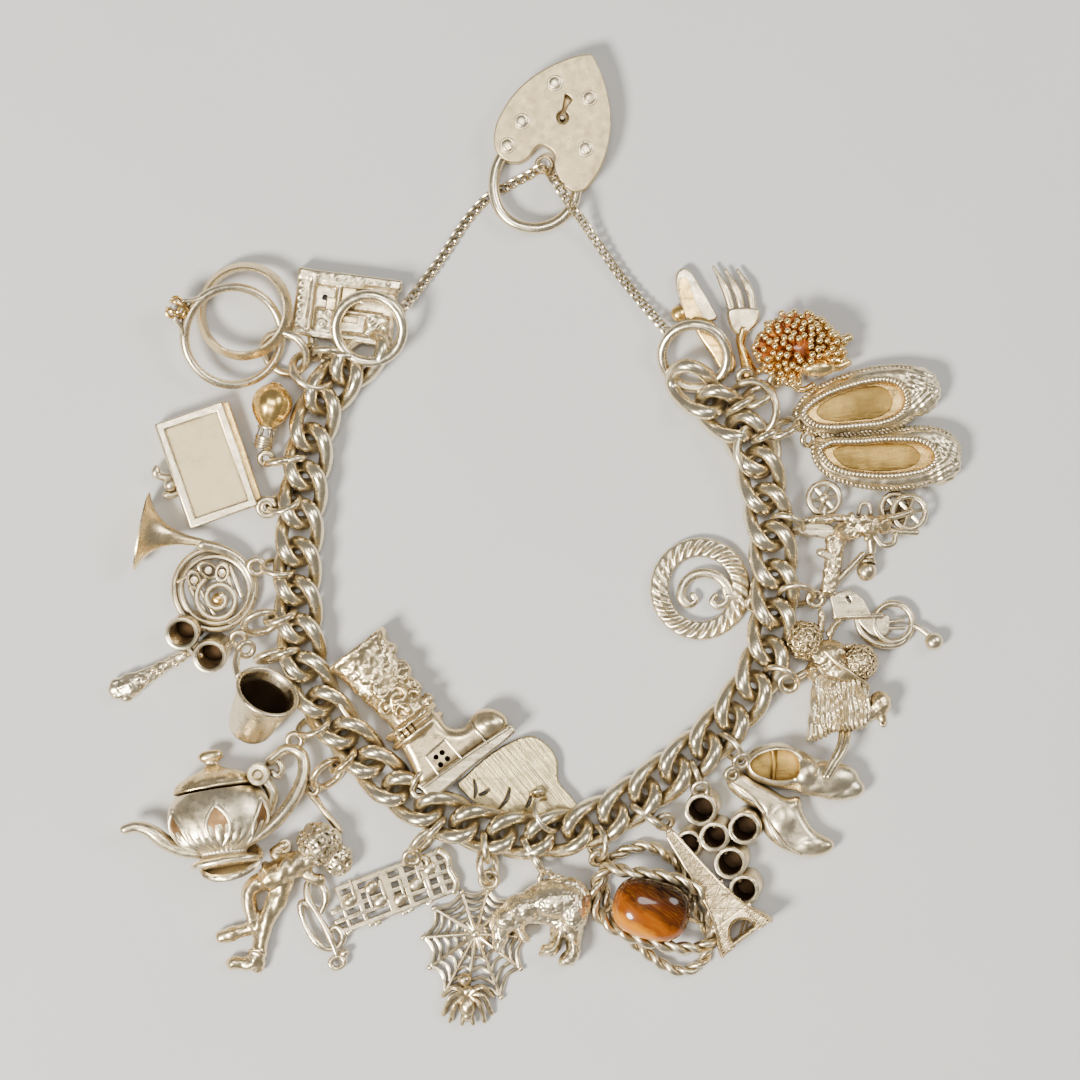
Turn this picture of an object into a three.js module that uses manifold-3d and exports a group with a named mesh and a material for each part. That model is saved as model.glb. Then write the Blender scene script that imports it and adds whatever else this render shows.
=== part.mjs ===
// Charm bracelet: a curb chain closed by two end rings, a safety chain and a heart padlock,
// with its charms laid flat around it. Millimetres, +Z up, everything rests on z = 0.
import * as THREE from "three";
import { mergeVertices } from "three/addons/utils/BufferGeometryUtils.js";
import Module from "manifold-3d";

const wasm = await Module();
wasm.setup();

// ---------------------------------------------------------------- driving dimensions
const GAP = 0.3;
const CLEAR = 0.42;
const LINK_COUNT = 33;
const SECTIONS = 8;
const LINK = { half: 3.8, side: 2.4, twist: 1.2, wire: 1.15, sides: 4, steps: 8 };
const CHAIN_Z = 2.35;
const CHAIN_ROUTE = [
  [-23.2, 24.4], [-28.3, 18.4], [-30.5, 8.1], [-31.5, -6.5], [-29.9, -18.5], [-23.2, -27.9],
  [-17.9, -33.2], [-8.5, -37.9], [0.8, -39.2], [8.8, -37.2], [16.8, -31.9], [24.8, -25.2],
  [30.8, -15.9], [32.1, -5.2], [30.8, 5.5], [28.6, 13.5], [21.6, 20.2],
];
const JUMP_WIRE = 0.42;
const JUMP_INSET = 0.6;
const END_RING_WIRE = 0.68;
const SAFETY_WIRE = 0.5;
const PADLOCK = { thick: 3.6, x: 3.46, y: 55.31, turn: -22, pivot: [-3.5, 52.6] };
const LID_PIVOT = [-36.6, -31];
const SHACKLE = {
  wire: 0.75,
  z: 2.05,
  bow: [[-4.4, 51.5], [-5.2, 49.2], [-5.35, 46.6], [-4.6, 44.2], [-2.9, 42.5], [-0.5, 41.75],
    [1.9, 42], [3.9, 43.2], [5.2, 45], [5.8, 47.4]],
};

const SILVER = { color: "#b9b2a6", roughness: 0.32, metalness: 1 };
const GILT = { color: "#c69a52", roughness: 0.35, metalness: 1 };
const STONE = { color: "#7a3d16", roughness: 0.15, metalness: 0 };
const ENAMEL = { color: "#b5642a", roughness: 0.3, metalness: 0.2 };

// ---------------------------------------------------------------- solids
function solid(geometry) {
  geometry.deleteAttribute("normal");
  geometry.deleteAttribute("uv");
  const merged = mergeVertices(geometry, 1e-4);
  const points = new Float32Array(merged.attributes.position.array);
  const corners = new Uint32Array(merged.index.array);
  if (signedVolume(points, corners) < 0) {
    for (let i = 0; i < corners.length; i += 3) {
      const first = corners[i];
      corners[i] = corners[i + 1];
      corners[i + 1] = first;
    }
  }
  return new wasm.Manifold(new wasm.Mesh({ numProp: 3, vertProperties: points, triVerts: corners }));
}

function signedVolume(points, corners) {
  const a = new THREE.Vector3();
  const b = new THREE.Vector3();
  const c = new THREE.Vector3();
  let sum = 0;
  for (let i = 0; i < corners.length; i += 3) {
    a.fromArray(points, 3 * corners[i]);
    b.fromArray(points, 3 * corners[i + 1]);
    c.fromArray(points, 3 * corners[i + 2]);
    sum += a.dot(b.cross(c));
  }
  return sum / 6;
}

const fuse = (...parts) => wasm.Manifold.union(parts.flat(Infinity));

// The largest piece of a solid, without the crumbs that a clearance cut can leave.
function largest(body) {
  const pieces = body.decompose();
  pieces.sort((a, b) => b.volume() - a.volume());
  return pieces[0];
}

// The solid and its copies one gap away along each axis: what a neighbour is cut back to.
function grown(body) {
  const moves = [[1, 0, 0], [-1, 0, 0], [0, 1, 0], [0, -1, 0], [0, 0, 1], [0, 0, -1]];
  return fuse(body, moves.map((move) => body.translate(move.map((step) => step * CLEAR))));
}

function circle(radius, sides) {
  const shape = new THREE.Shape();
  for (let i = 0; i < sides; i += 1) {
    const angle = (2 * Math.PI * (i + 0.5)) / sides;
    const x = radius * Math.cos(angle);
    const y = radius * Math.sin(angle);
    if (i === 0) shape.moveTo(x, y);
    else shape.lineTo(x, y);
  }
  shape.closePath();
  return shape;
}

// A wire or bar along points; a straight one has two points.
function rod(points, radius, { sides = 5, steps = 0 } = {}) {
  const path = points.map((p) => new THREE.Vector3(p[0], p[1], p[2]));
  const curve = path.length === 2 ? new THREE.LineCurve3(path[0], path[1])
    : new THREE.CatmullRomCurve3(path, false, "centripetal");
  const count = steps || (path.length === 2 ? 1 : path.length + 1);
  const section = circle(radius, sides);
  const options = { steps: count, extrudePath: curve, bevelEnabled: false };
  return solid(new THREE.ExtrudeGeometry(section, options));
}

// A ring about the Z axis, centred on the origin.
function hoop(radius, wire, { segments = 16, sides = 5, tall = wire } = {}) {
  const profile = [];
  for (let i = 0; i <= sides; i += 1) {
    const angle = (2 * Math.PI * ((i % sides) + 0.5)) / sides;
    profile.push(new THREE.Vector2(radius + wire * Math.cos(angle), tall * Math.sin(angle)));
  }
  return solid(new THREE.LatheGeometry(profile, segments).rotateX(Math.PI / 2));
}

// A turned body about the Z axis; the profile is [radius, height] and ends on the axis.
function turned(profile, segments = 12) {
  const points = profile.map((p) => new THREE.Vector2(p[0], p[1]));
  return solid(new THREE.LatheGeometry(points, segments).rotateX(Math.PI / 2));
}

function ball(radius, segments = 12) {
  const rows = Math.max(4, Math.round(segments / 2));
  const profile = [];
  for (let i = 0; i <= rows; i += 1) {
    const angle = (Math.PI * i) / rows - Math.PI / 2;
    const r = i === 0 || i === rows ? 0 : radius * Math.cos(angle);
    profile.push([r, radius * Math.sin(angle)]);
  }
  return turned(profile, segments);
}

function slab(outline, low, high, holes = []) {
  const shape = outline instanceof THREE.Shape ? outline
    : new THREE.Shape(outline.map((p) => new THREE.Vector2(p[0], p[1])));
  const options = { depth: high - low, bevelEnabled: false, curveSegments: 5 };
  const whole = solid(new THREE.ExtrudeGeometry(shape, options)).translate([0, 0, low]);
  if (!holes.length) return whole;
  return whole.subtract(fuse(holes.map((hole) => slab(hole, low - 1, high + 1))));
}

const disc = (radius, low, high, sides = 12) => slab(circle(radius, sides), low, high);

function block(length, width, low, high) {
  return solid(new THREE.BoxGeometry(length, width, high - low)).translate([0, 0, (low + high) / 2]);
}

const at = (body, x, y, z = 0, turn = 0) => body.rotate([0, 0, turn]).translate([x, y, z]);

// ---------------------------------------------------------------- chain
const route = new THREE.CatmullRomCurve3(
  CHAIN_ROUTE.map((p) => new THREE.Vector3(p[0], p[1], CHAIN_Z)), false, "centripetal");
route.arcLengthDivisions = 800;

const linkPlaces = Array.from({ length: LINK_COUNT }, (_, i) => {
  const u = i / (LINK_COUNT - 1);
  const tangent = route.getTangentAt(u);
  const point = route.getPointAt(u);
  return { x: point.x, y: point.y, turn: Math.atan2(tangent.y, tangent.x) };
});

// A closed loop of wire with half lengths a and b, whose middle line rises and falls twice a turn.
function wireLoop(a, b, wire, { twist = 0, sides = 6, steps = 14 } = {}) {
  const ring = new THREE.LatheGeometry(Array.from({ length: sides + 1 }, (_, i) => {
    const angle = (2 * Math.PI * (i % sides)) / sides;
    return new THREE.Vector2(a + wire * Math.cos(angle), wire * Math.sin(angle));
  }), steps).rotateX(Math.PI / 2);
  const position = ring.attributes.position;
  for (let i = 0; i < position.count; i += 1) {
    const angle = Math.atan2(position.getY(i), position.getX(i));
    const out = Math.hypot(position.getX(i), position.getY(i)) - a;
    const lift = position.getZ(i) + twist * Math.sin(2 * angle);
    position.setXYZ(i, (a + out) * Math.cos(angle), (b + out) * Math.sin(angle), lift);
  }
  return solid(ring);
}

function curbLink(place, extra = 0) {
  const link = wireLoop(LINK.half, LINK.side, LINK.wire + extra, LINK);
  return at(link, place.x, place.y, CHAIN_Z, THREE.MathUtils.radToDeg(place.turn));
}

// A jump ring from the hole of a link to the eye of a charm, leaning so that it clears the floor.
function jumpShape(link, eye) {
  const place = linkPlaces[link];
  const across = Math.atan2(eye[1] - place.y, eye[0] - place.x);
  const far = Math.hypot(eye[1] - place.y, eye[0] - place.x);
  const radius = (far - JUMP_INSET) / 2;
  const reach = (far + JUMP_INSET) / 2;
  const stand = Math.asin(Math.min(1, (CHAIN_Z - JUMP_WIRE - 0.05) / radius));
  const x = place.x + reach * Math.cos(across);
  const y = place.y + reach * Math.sin(across);
  return { x, y, radius, across, stand };
}

function jumpRing(link, eye, extra = 0) {
  const s = jumpShape(link, eye);
  const ring = hoop(s.radius, JUMP_WIRE + extra, { segments: 9, sides: 4 });
  const leaned = ring.rotate([THREE.MathUtils.radToDeg(s.stand), 0, 0]);
  return at(leaned, s.x, s.y, CHAIN_Z, THREE.MathUtils.radToDeg(s.across));
}

// ---------------------------------------------------------------- clasp
function heartShape() {
  const heart = new THREE.Shape();
  heart.moveTo(0, 10.5);
  heart.bezierCurveTo(3, 7.6, 7.6, 3.6, 7.6, -2.4);
  heart.bezierCurveTo(7.6, -5.8, 6.8, -7.4, 4.8, -7.4);
  heart.bezierCurveTo(2.8, -7.4, 1.9, -5.4, 1, -3.9);
  heart.lineTo(-1, -3.9);
  heart.bezierCurveTo(-1.9, -5.4, -2.8, -7.4, -4.8, -7.4);
  heart.bezierCurveTo(-6.8, -7.4, -7.6, -5.8, -7.6, -2.4);
  heart.bezierCurveTo(-7.6, 3.6, -3, 7.6, 0, 10.5);
  return heart;
}

function padlockBody() {
  const { thick, x, y, turn, pivot } = PADLOCK;
  const heart = at(slab(heartShape(), 0, thick), x, y, 0, turn);
  const keyhole = fuse(
    disc(0.95, thick - 1, thick + 1),
    at(block(0.9, 2.8, thick - 1, thick + 1), 0.2, 1.6, 0, -20),
  );
  const slotLow = SHACKLE.z - SHACKLE.wire - GAP;
  const slotHigh = SHACKLE.z + SHACKLE.wire + GAP;
  const slot = fuse(
    at(disc(2, slotLow, slotHigh), pivot[0], pivot[1]),
    at(block(6, 4, slotLow, slotHigh), pivot[0] - 1.3, pivot[1] - 2.8, 0, 65),
  );
  const pocket = rod([[5, 44.2, SHACKLE.z], [6, 48.6, SHACKLE.z]], SHACKLE.wire + 2 * GAP, { sides: 6 });
  const pin = at(disc(0.45, slotLow - 0.2, slotHigh + 0.2, 8), pivot[0], pivot[1]);
  const rivets = [[2.8, 60.9], [7.4, 58.9], [-1.6, 55.8], [6.9, 52.2], pivot].map(([rx, ry]) =>
    at(disc(0.9, thick - 0.4, thick + 0.12, 8), rx, ry));
  const keyPin = at(disc(0.3, thick - 1.2, thick - 0.1, 6), 3.8, 56.4);
  const open = heart.subtract(fuse(at(keyhole, 3.8, 56.4), slot, pocket));
  return fuse(open, pin, rivets, keyPin);
}

function padlockShackle() {
  const { z, wire, bow } = SHACKLE;
  const [px, py] = PADLOCK.pivot;
  const eye = at(disc(1.5, z - wire, z + wire), px, py);
  const bore = at(disc(0.8, z - 2, z + 2, 10), px, py);
  const route = bow.map(([x, y]) => [x, y, z]);
  return fuse(rod(route, wire, { sides: 6, steps: 20 }), eye).subtract(bore);
}

// The left run passes under the shackle and the right run over it; they meet in a small ring.
function safetyChain() {
  const under = SAFETY_WIRE + 0.08;
  const over = SHACKLE.z + SHACKLE.wire + GAP + SAFETY_WIRE + 0.1;
  const left = rod([[-17.2, 31.2, 2.7], [-15.9, 33, 1.7], [-12.5, 37.6, 0.8], [-8.5, 43.5, under],
    [-5.9, 46.1, under], [-3.2, 47.6, under], [-0.5, 49.0, under], [0.9, 50.3, under]], SAFETY_WIRE,
      { steps: 15 });
  const right = rod([[1.7, 49.9, 0.8], [2.4, 48.6, 2.4], [3.4, 46.9, over], [5.1, 44.4, over],
    [7.5, 41.2, 1.8], [11.5, 35.5, 0.9], [15.5, 30.6, 1.2], [17.4, 28.4, 2.2]], SAFETY_WIRE, { steps: 15 });
  const meet = at(hoop(0.85, SAFETY_WIRE, { segments: 8 }), 1.35, 50.3, under);
  return fuse(left, right, meet);
}

const endRingLeft = (extra = 0) =>
  at(hoop(4.5, END_RING_WIRE + extra, { segments: 18 }).rotate([0, 14, 0]), -21.9, 28.2, 4.5, 251);
const endRingRight = (extra = 0) =>
  at(hoop(4.4, END_RING_WIRE + extra, { segments: 18 }).rotate([0, 22, 0]), 21.4, 24.6, 2.6, 250);

// ---------------------------------------------------------------- charms
function weddingBand() {
  return at(hoop(6.1, 0.7, { segments: 20, sides: 6, tall: 1.3 }).rotate([12, 0, 0]), -38.6, 30.6, 2.75,
    -114);
}

function solitaireRing() {
  const band = hoop(6.5, 0.65, { segments: 20 });
  const claw = turned([[0, 5.9], [1, 6], [1.9, 7.6], [1.9, 8.2], [1.2, 9], [0, 9]], 8);
  const set = claw.rotate([0, 90, 0]).rotate([0, 0, 268]);
  return at(fuse(band, set).rotate([-13, 0, 0]), -40.1, 27.3, 2.75, -114);
}

function cabinet() {
  const board = block(13.6, 8.6, 0, 2.4);
  const beam = at(block(14.2, 2, 0, 2.8), 0, 3.6);
  const plinth = at(block(14, 1.2, 0, 2.6), 0, -4);
  const panels = [[-4.5, 3], [0, 4.4], [4.5, 3]].map(([x, length]) => at(block(length, 4, 1.8, 4), x, -0.3));
  return at(fuse(board, beam, plinth).subtract(fuse(panels)), -25.1, 31.2, 0, -7.5);
}

function balloon() {
  const bag = turned([[0, -3.4], [0.9, -3.2], [2.5, -0.9], [2.75, 0.6], [1.9, 2.1], [0, 2.8]], 10);
  const basket = turned([[0, -6], [1.2, -5.8], [1.2, -4.4], [0, -4.3]], 7);
  const ropes = rod([[0, 0, -4.8], [0, 0, -2.4]], 0.4, { sides: 4 });
  const lying = fuse(bag, basket, ropes).rotate([-90, 0, 0]).rotate([0, 0, -12]);
  return lying.translate([-34.9, 18.2, 2.85]);
}

function book() {
  const cover = block(10.4, 14.7, 0, 3.1);
  const pages = at(block(4, 14, 0.6, 2.5), 3, 0);
  const core = cover.subtract(at(block(4, 16, 0.6, 2.5), 5.2, 0)).subtract(block(8.4, 12.7, 2.8, 4));
  const clasp = at(block(1.6, 2.6, 0.5, 2.8), -5.6, -1);
  return at(fuse(core, pages, clasp), -43.2, 10.3, 0, 19);
}

const HORN = { x: -42.8, y: -6.4, z: 1.2, coil: 5, wire: 0.75 };

const hornCoil = (extra = 0) =>
  at(hoop(HORN.coil, HORN.wire + extra, { segments: 14, sides: 4 }), HORN.x, HORN.y, HORN.z);

function frenchHorn() {
  const bell = turned([[0, -4.2], [0.8, -4.2], [1.2, -1.5], [2, 0.8], [5, 3.3], [5, 3.7], [0, 1.2]], 12);
  const lying = bell.rotate([0, -90, 0]).scale([1, 1, 0.6]).rotate([0, 0, 9]).translate([-49, 0.7, 3.1]);
  const throat = rod([[-46, 0.5, 3], [-43, -0.9, 2.4], [-40.4, -2.4, 1.4]], 0.85);
  const bar = (a, b) => rod([[a[0], a[1], HORN.z], [b[0], b[1], HORN.z]], 0.5, { sides: 4 });
  const valves = [-1.2, 0.2, 1.6].map((x) => at(disc(0.55, 0.6, 2.7, 6), HORN.x + x, HORN.y));
  return fuse(lying, throat, hornCoil(), valves, bar([-47.6, -6.1], [-38, -6.7]));
}

function operaGlasses() {
  const tube = (x, y) => at(disc(2.45, 0, 4.4, 12).subtract(disc(1.7, 3.2, 6, 10)), x, y);
  const bridge = at(block(3, 1.6, 1.2, 3), -45, -14, 0, -38);
  const handle = slab([[-46.6, -14.8], [-49.5, -16.6], [-52.4, -18], [-56, -18.5], [-56.4, -20.6],
    [-53.8, -21], [-51.4, -19.4], [-48.6, -17.9], [-46, -16]], 0.8, 2.2);
  return fuse(tube(-46.9, -12.5), tube(-43.1, -15.5), bridge, handle).subtract(hornCoil(CLEAR));
}

function thimble() {
  const cup = turned([[0, 0], [2.4, 0], [3.3, 6], [3.6, 6.2], [3.6, 6.9], [2.8, 6.9], [2.1, 1.2],
    [0, 1]], 14);
  return cup.rotate([0, 70, 0]).rotate([0, 0, 62]).translate([-38.5, -25.9, 3.1]);
}

function teapotParts() {
  const belly = [[0, -6.9], [4, -6.8], [3.2, -5.4], [5.2, -3.6], [6.1, -1], [5.9, 1.4], [5.1, 2.9],
    [0, 2.95]];
  const dome = [[0, 3.35], [4.6, 3.35], [4.2, 4.5], [0.9, 6.3], [0.6, 6.9], [1.1, 7.7], [0, 8.6]];
  const lay = (profile) => turned(profile, 14).scale([1, 0.55, 1]).rotate([-90, 0, 0])
    .rotate([0, 0, 8.5]).translate([-42.9, -36.1, 3.4]);
  const spout = rod([[-46.6, -41, 3], [-50.2, -41.6, 3.2], [-54.4, -37.9, 3.4]], 0.95);
  const handle = rod([[-38.4, -40.6, 3], [-33.8, -38.6, 2.6], [-31.8, -33, 2.4],
    [-31.5, -27.4, CHAIN_Z]], 0.8);
  const knuckle = at(disc(0.9, 1.4, 5.2, 8), LID_PIVOT[0], LID_PIVOT[1]);
  const arm = rod([[-37.1, -31.6, 2.4], [-38.2, -34.4, 2.6]], 0.8);
  return { pot: fuse(lay(belly), spout, handle, knuckle, arm), lid: lay(dome) };
}

function figure() {
  const hair = fuse(at(ball(2.9, 10), -28.9, -40.4, 2.9), at(ball(2, 8), -25.8, -42.2, 2.2));
  const torso = rod([[-30, -42, 2.6], [-33.4, -44, 2.5], [-36.6, -45.8, 2.3]], 1.9, { sides: 6, steps: 3 });
  const legs = [
    rod([[-36.4, -45.4, 2.2], [-36.3, -49.6, 2.2], [-40.9, -52.4, 1.6]], 1.25, { steps: 4 }),
    rod([[-35.6, -46.6, 1.8], [-35.6, -51, 1.8], [-39.8, -56.2, 1.4]], 1.2, { steps: 4 }),
  ];
  const arm = rod([[-31.6, -43, 2.6], [-34.4, -42.4, 2.4], [-33.2, -40.6, 2.2]], 0.85);
  const stick = rod([[-30, -34, 1.2], [-26.8, -39.6, 1.8]], 0.55);
  return fuse(hair, torso, legs, arm, stick);
}

function musicStave() {
  const length = 17;
  const space = 1.3;
  const gaps = [];
  for (let row = -2; row < 2; row += 1) {
    for (let bay = 0; bay < 3; bay += 1) {
      const x = -length / 2 + 0.5 + (bay * (length - 0.5)) / 3;
      gaps.push(rectangle(x, row * space + 0.22, (length - 0.5) / 3 - 0.5, space - 0.44));
    }
  }
  const lines = slab(rectangle(-length / 2, -2 * space - 0.22, length, 4 * space + 0.44), 0.8, 1.5, gaps);
  const notes = [[-5.6, 0.3], [0.4, -1.2], [5.6, 0.9]].map(([x, y]) => fuse(
    at(disc(0.95, 0.8, 2, 8), x, y), at(block(0.45, 3.6, 0.8, 1.9), x + 0.8, y + 1.4)));
  const clef = rod([[-10.2, -8.4, 1.3], [-10.8, -5, 1.3], [-8.6, -1.6, 1.3], [-10.9, 1.2, 1.3],
    [-9.6, 5.2, 1.3],
    [-8.4, 1.8, 1.3], [-8.9, -3, 1.3]], 0.55, { steps: 12, sides: 4 });
  return at(fuse(lines, notes, clef), -19.2, -46.8, 0, 20);
}

const rectangle = (x, y, length, width) =>
  [[x, y], [x + length, y], [x + length, y + width], [x, y + width]];

function boot() {
  const shaft = turned([[0, -1.5], [2.8, -1.5], [3, 3], [3.7, 8], [4.4, 12.9], [3.8, 13.3], [3.1, 10.6],
    [0, 10.4]], 12);
  const lying = shaft.scale([1, 0.6, 1]).rotate([-90, 0, 0]).rotate([0, 0, 38]);
  const foot = slab([[-17.6, -30.6], [-16.6, -32.2], [-3.6, -25.6], [-3, -24], [-4, -22.6], [-6.4, -21.7],
    [-10.4, -22.4], [-12.6, -22.7], [-17.4, -27]], 0.4, 5);
  const sole = slab([[-16.9, -33], [-15.6, -33.3], [-2.6, -25.6], [-2.2, -24.6], [-3, -23.6],
    [-16.6, -31]], 0, 5.3);
  return fuse(lying.translate([-15.5, -24.8, 2.9]), foot, sole);
}

function plate() {
  const outline = [[-10.2, -32.2], [-7.6, -29.4], [-4.7, -27.6], [-1, -26.4], [1.9, -27.6], [3.2, -30.2],
    [3.4, -32.3],
    [4.8, -33.4], [5.6, -34.7], [3.6, -34.6], [1.2, -34.4], [-1.5, -35], [-4.1, -34.8], [-7.9, -33.6]];
  const cuts = [[[-1.6, -31.8], [-0.2, -32.6], [0, -31.2], [-1, -30.4]],
    [[-6, -33], [-4.8, -32.6], [-5.2, -31.6]]];
  return slab(outline, 0.4, 1.6, cuts);
}

function spiderWeb() {
  const sectors = 9;
  const spot = (radius, turn) => {
    const angle = (2 * Math.PI * turn) / sectors + 0.2;
    return [radius * Math.cos(angle), radius * Math.sin(angle)];
  };
  const outline = Array.from({ length: 2 * sectors }, (_, i) => spot(i % 2 ? 6 : 6.7, i / 2));
  const cells = [];
  for (let i = 0; i < sectors; i += 1) {
    cells.push([spot(1.2, i + 0.5), spot(3.2, i + 0.14), spot(3.2, i + 0.86)]);
    cells.push([spot(3.7, i + 0.1), spot(5.5, i + 0.08), spot(5.5, i + 0.92), spot(3.7, i + 0.9)]);
  }
  const web = at(slab(outline, 0.1, 0.9, cells), -7.8, -52.7);
  const legs = [[-3, -2.4], [-3, 2], [3, -2], [3, 2.4]].map(([x, y]) =>
    rod([[-9, -61.8, 1.4], [-9 + x, -61.8 + y, 0.5]], 0.36, { sides: 4 }));
  const spider = fuse(at(ball(1.3, 8), -9, -61.4, 1.5), at(ball(0.8, 6), -9.3, -63, 1.4), legs);
  return fuse(web, spider, rod([[-8.7, -58.4, 0.6], [-9, -61, 1.3]], 0.4));
}

function bear() {
  const lump = (x, y, z, r, rx, ry, turn) =>
    ball(r, 9).scale([rx, ry, 1]).rotate([0, 0, turn]).translate([x, y, z]);
  const trunk = lump(3.2, -48, 2.8, 2.7, 1.7, 1.05, -8);
  const head = lump(-2.6, -50.2, 3.3, 2.1, 1.15, 0.95, 20);
  const snout = lump(-4.4, -51.4, 2.6, 1, 1.2, 0.9, 40);
  const leg = (ax, ay, bx, by, r) => rod([[ax, ay, 2.2], [bx, by, 1.3]], r);
  const neck = rod([[1.2, -48.6, 2.9], [-2.4, -50, 3.2]], 1.5);
  return fuse(trunk, neck, head, snout, leg(6.2, -48.6, 5, -56, 1.25), leg(7, -48.6, 7.2, -54.2, 1.2),
    leg(1.6, -49.6, 2, -54.8, 1.15), leg(1, -49.6, 0.3, -54.2, 1.05));
}

const stoneShape = () => ball(4.05, 14).scale([1.26, 1, 0.82]).rotate([0, 0, -15])
  .translate([15.6, -49.2, 4.3]);

// Two wire ovals that cross at both ends and hold the stone between them.
function ropeCage() {
  const oval = (width, turn) => wireLoop(7.7, width, 0.6, { steps: 16, sides: 5 }).rotate([0, 0, turn]);
  const upright = oval(4.9, -66).translate([16.3, -49.5, 1.7]);
  return fuse(oval(5.1, -15).translate([15.7, -50.2, 1.5]), upright);
}

// Half the width of the tower at a height above its feet.
const towerHalf = (height) => 0.45 + 4 * Math.exp(-height / 5);

function latticeTower(extra = 0) {
  const heights = [0, 2, 4.4, 7.4, 11.5, 17.5];
  const right = heights.map((h) => [towerHalf(h) + extra, h]);
  const left = heights.map((h) => [-towerHalf(h) - extra, h]).reverse();
  const arch = [[-2.2, 0], [-1.8, 1.6], [-0.9, 2.6], [0.9, 2.6], [1.8, 1.6], [2.2, 0]];
  const mid = [[-1, 4.9], [1, 4.9], [0.6, 6.8], [-0.6, 6.8]];
  const face = slab([...right, ...left, ...arch], 0.4 - extra, 4.4 + extra, [mid]);
  const decks = [[3.7, 3.1, 2.3], [7.4, 1.8, 2.2]].map(([y, half, high]) =>
    at(block(2 * (half + extra), 0.7, 2.4 - high - extra, 2.4 + high + extra), 0, y));
  return fuse(face, decks).rotate([0, 0, 38]).translate([28.4, -52.9, 0]);
}

function tubeCluster() {
  const spots = [[22.4, -35.5], [28.6, -38.2], [24.6, -39], [27, -42], [28.6, -46], [21.2, -39.6]];
  const tubes = spots.map(([x, y]) => at(disc(2.25, 0, 3.2, 10), x, y));
  const bores = spots.map(([x, y]) => at(disc(1.7, -1, 5, 10), x, y));
  const joins = [[0, 2], [1, 3], [3, 4], [2, 3], [2, 5]].map(([a, b]) =>
    rod([[...spots[a], 1.6], [...spots[b], 1.6]], 0.9, { sides: 4 }));
  return largest(fuse(tubes, joins).subtract(fuse(bores)));
}

function shoe(heel, toe, width, high, floor, mouth) {
  const turn = THREE.MathUtils.radToDeg(Math.atan2(toe[1] - heel[1], toe[0] - heel[0]));
  const length = Math.hypot(toe[1] - heel[1], toe[0] - heel[0]);
  const half = width / 2;
  const side = [[0, 0.6], [0.12, 0.85], [0.5, 1], [0.8, 0.62], [0.96, 0.22]];
  const hollow = [[0.1, 0.45], [0.3, 0.62], [mouth, 0.5]];
  const both = (points) => [...points.map(([x, y]) => [x * length, -y * half]),
    ...points.map(([x, y]) => [x * length, y * half]).reverse()];
  return at(slab(both(side), 0, high).subtract(slab(both(hollow), floor, high + 1)), heel[0], heel[1], 0,
    turn);
}

function clogs() {
  const first = shoe([29.2, -28.9], [43.2, -33], 5.4, 4.2, 1, 0.5);
  const second = shoe([27.7, -32.8], [40.1, -39.8], 5, 3.6, 1, 0.45);
  return fuse(first, second, rod([[31, -30.6, 1.6], [30.6, -33.2, 1.6]], 0.9));
}

function bird() {
  const lump = (x, y, z, r, rx, turn) => ball(r,
    9).scale([rx, 1, 1]).rotate([0, 0, turn]).translate([x, y, z]);
  const body = lump(40.8, -20.2, 3, 3, 1.35, -70);
  const ruff = lump(37.9, -15.6, 3, 3, 1, 0);
  const plume = lump(42.8, -17.2, 2.8, 2.6, 1.2, 20);
  const head = lump(45.9, -22, 1.8, 1.5, 1.2, -40);
  const leg = (dx) => rod([[41.4 + dx, -23, 2], [39.4 + dx, -28.6, 1.2]], 0.6);
  return fuse(body, ruff, plume, head, leg(0), leg(1.8), rod([[43, -19.8, 2.2], [45.6, -21.6, 1.8]], 0.9));
}

function trebleClef() {
  const line = rod([[39.2, -7.9, 1.2], [54.2, -13.7, 1.2]], 0.6);
  const bow = rod([[40, -8.4, 1.2], [43, -6.6, 1.2], [46.4, -8.8, 1.2], [48.2, -13.2, 1.2],
    [51.4, -12.6, 1.2],
    [51.2, -9.4, 1.2], [48.2, -9.6, 1.2]], 0.6, { steps: 12 });
  return fuse(line, bow, at(ball(1.1, 7), 54.4, -14.1, 1.2));
}

function spiralDisc() {
  const rim = hoop(5.75, 1.2, { segments: 20, tall: 0.95 });
  const scroll = rod([[-5, 0.4, 0], [-2.4, 2.2, 0], [0.6, 1.4, 0], [1.6, -1, 0], [-0.4, -2, 0],
    [-1.4, -0.6, 0]], 0.6,
    { steps: 10 });
  return at(fuse(rim, scroll, rod([[0.4, 1.5, 0], [5, 1.9, 0]], 0.6)), 21.6, -6.9, 1);
}

// A flat wheel with spokes, on the floor side of a small charm.
function spokedWheel(radius, rim, spokes) {
  const window = (i) => [[0.7, 0.5], [radius - rim, 0.08], [radius - rim, 0.92]].map(([r, part]) => {
    const angle = (2 * Math.PI * (i + part)) / spokes;
    return [r * Math.cos(angle), r * Math.sin(angle)];
  });
  return slab(circle(radius, 12), 1, 1.8, Array.from({ length: spokes }, (_, i) => window(i)));
}

function tricycle() {
  const chassis = [
    rod([[36.6, 2.4, 1.4], [46.5, 3.2, 2], [50, 3.9, 1.5]], 0.75),
    rod([[38.8, 5.9, 1.4], [40.4, 3, 1.7]], 0.5),
    rod([[38.9, 2.8, 1.6], [38.6, -6, 1.4]], 0.55),
    rod([[44.2, 2.8, 1.7], [38.4, -6, 1.4]], 0.5),
    rod([[44.4, 3, 1.8], [44.1, 6, 2.2]], 0.45),
  ];
  return fuse(at(spokedWheel(2.5, 0.5, 5), 38.8, 5.9), at(spokedWheel(2.5, 0.5, 5), 50.1, 3.9), chassis,
    at(ball(1.5, 8), 44.6, -2.8, 1.5), rod([[43.2, 1.4, 1.6], [44.4, -2, 1.5]], 0.4));
}

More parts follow.
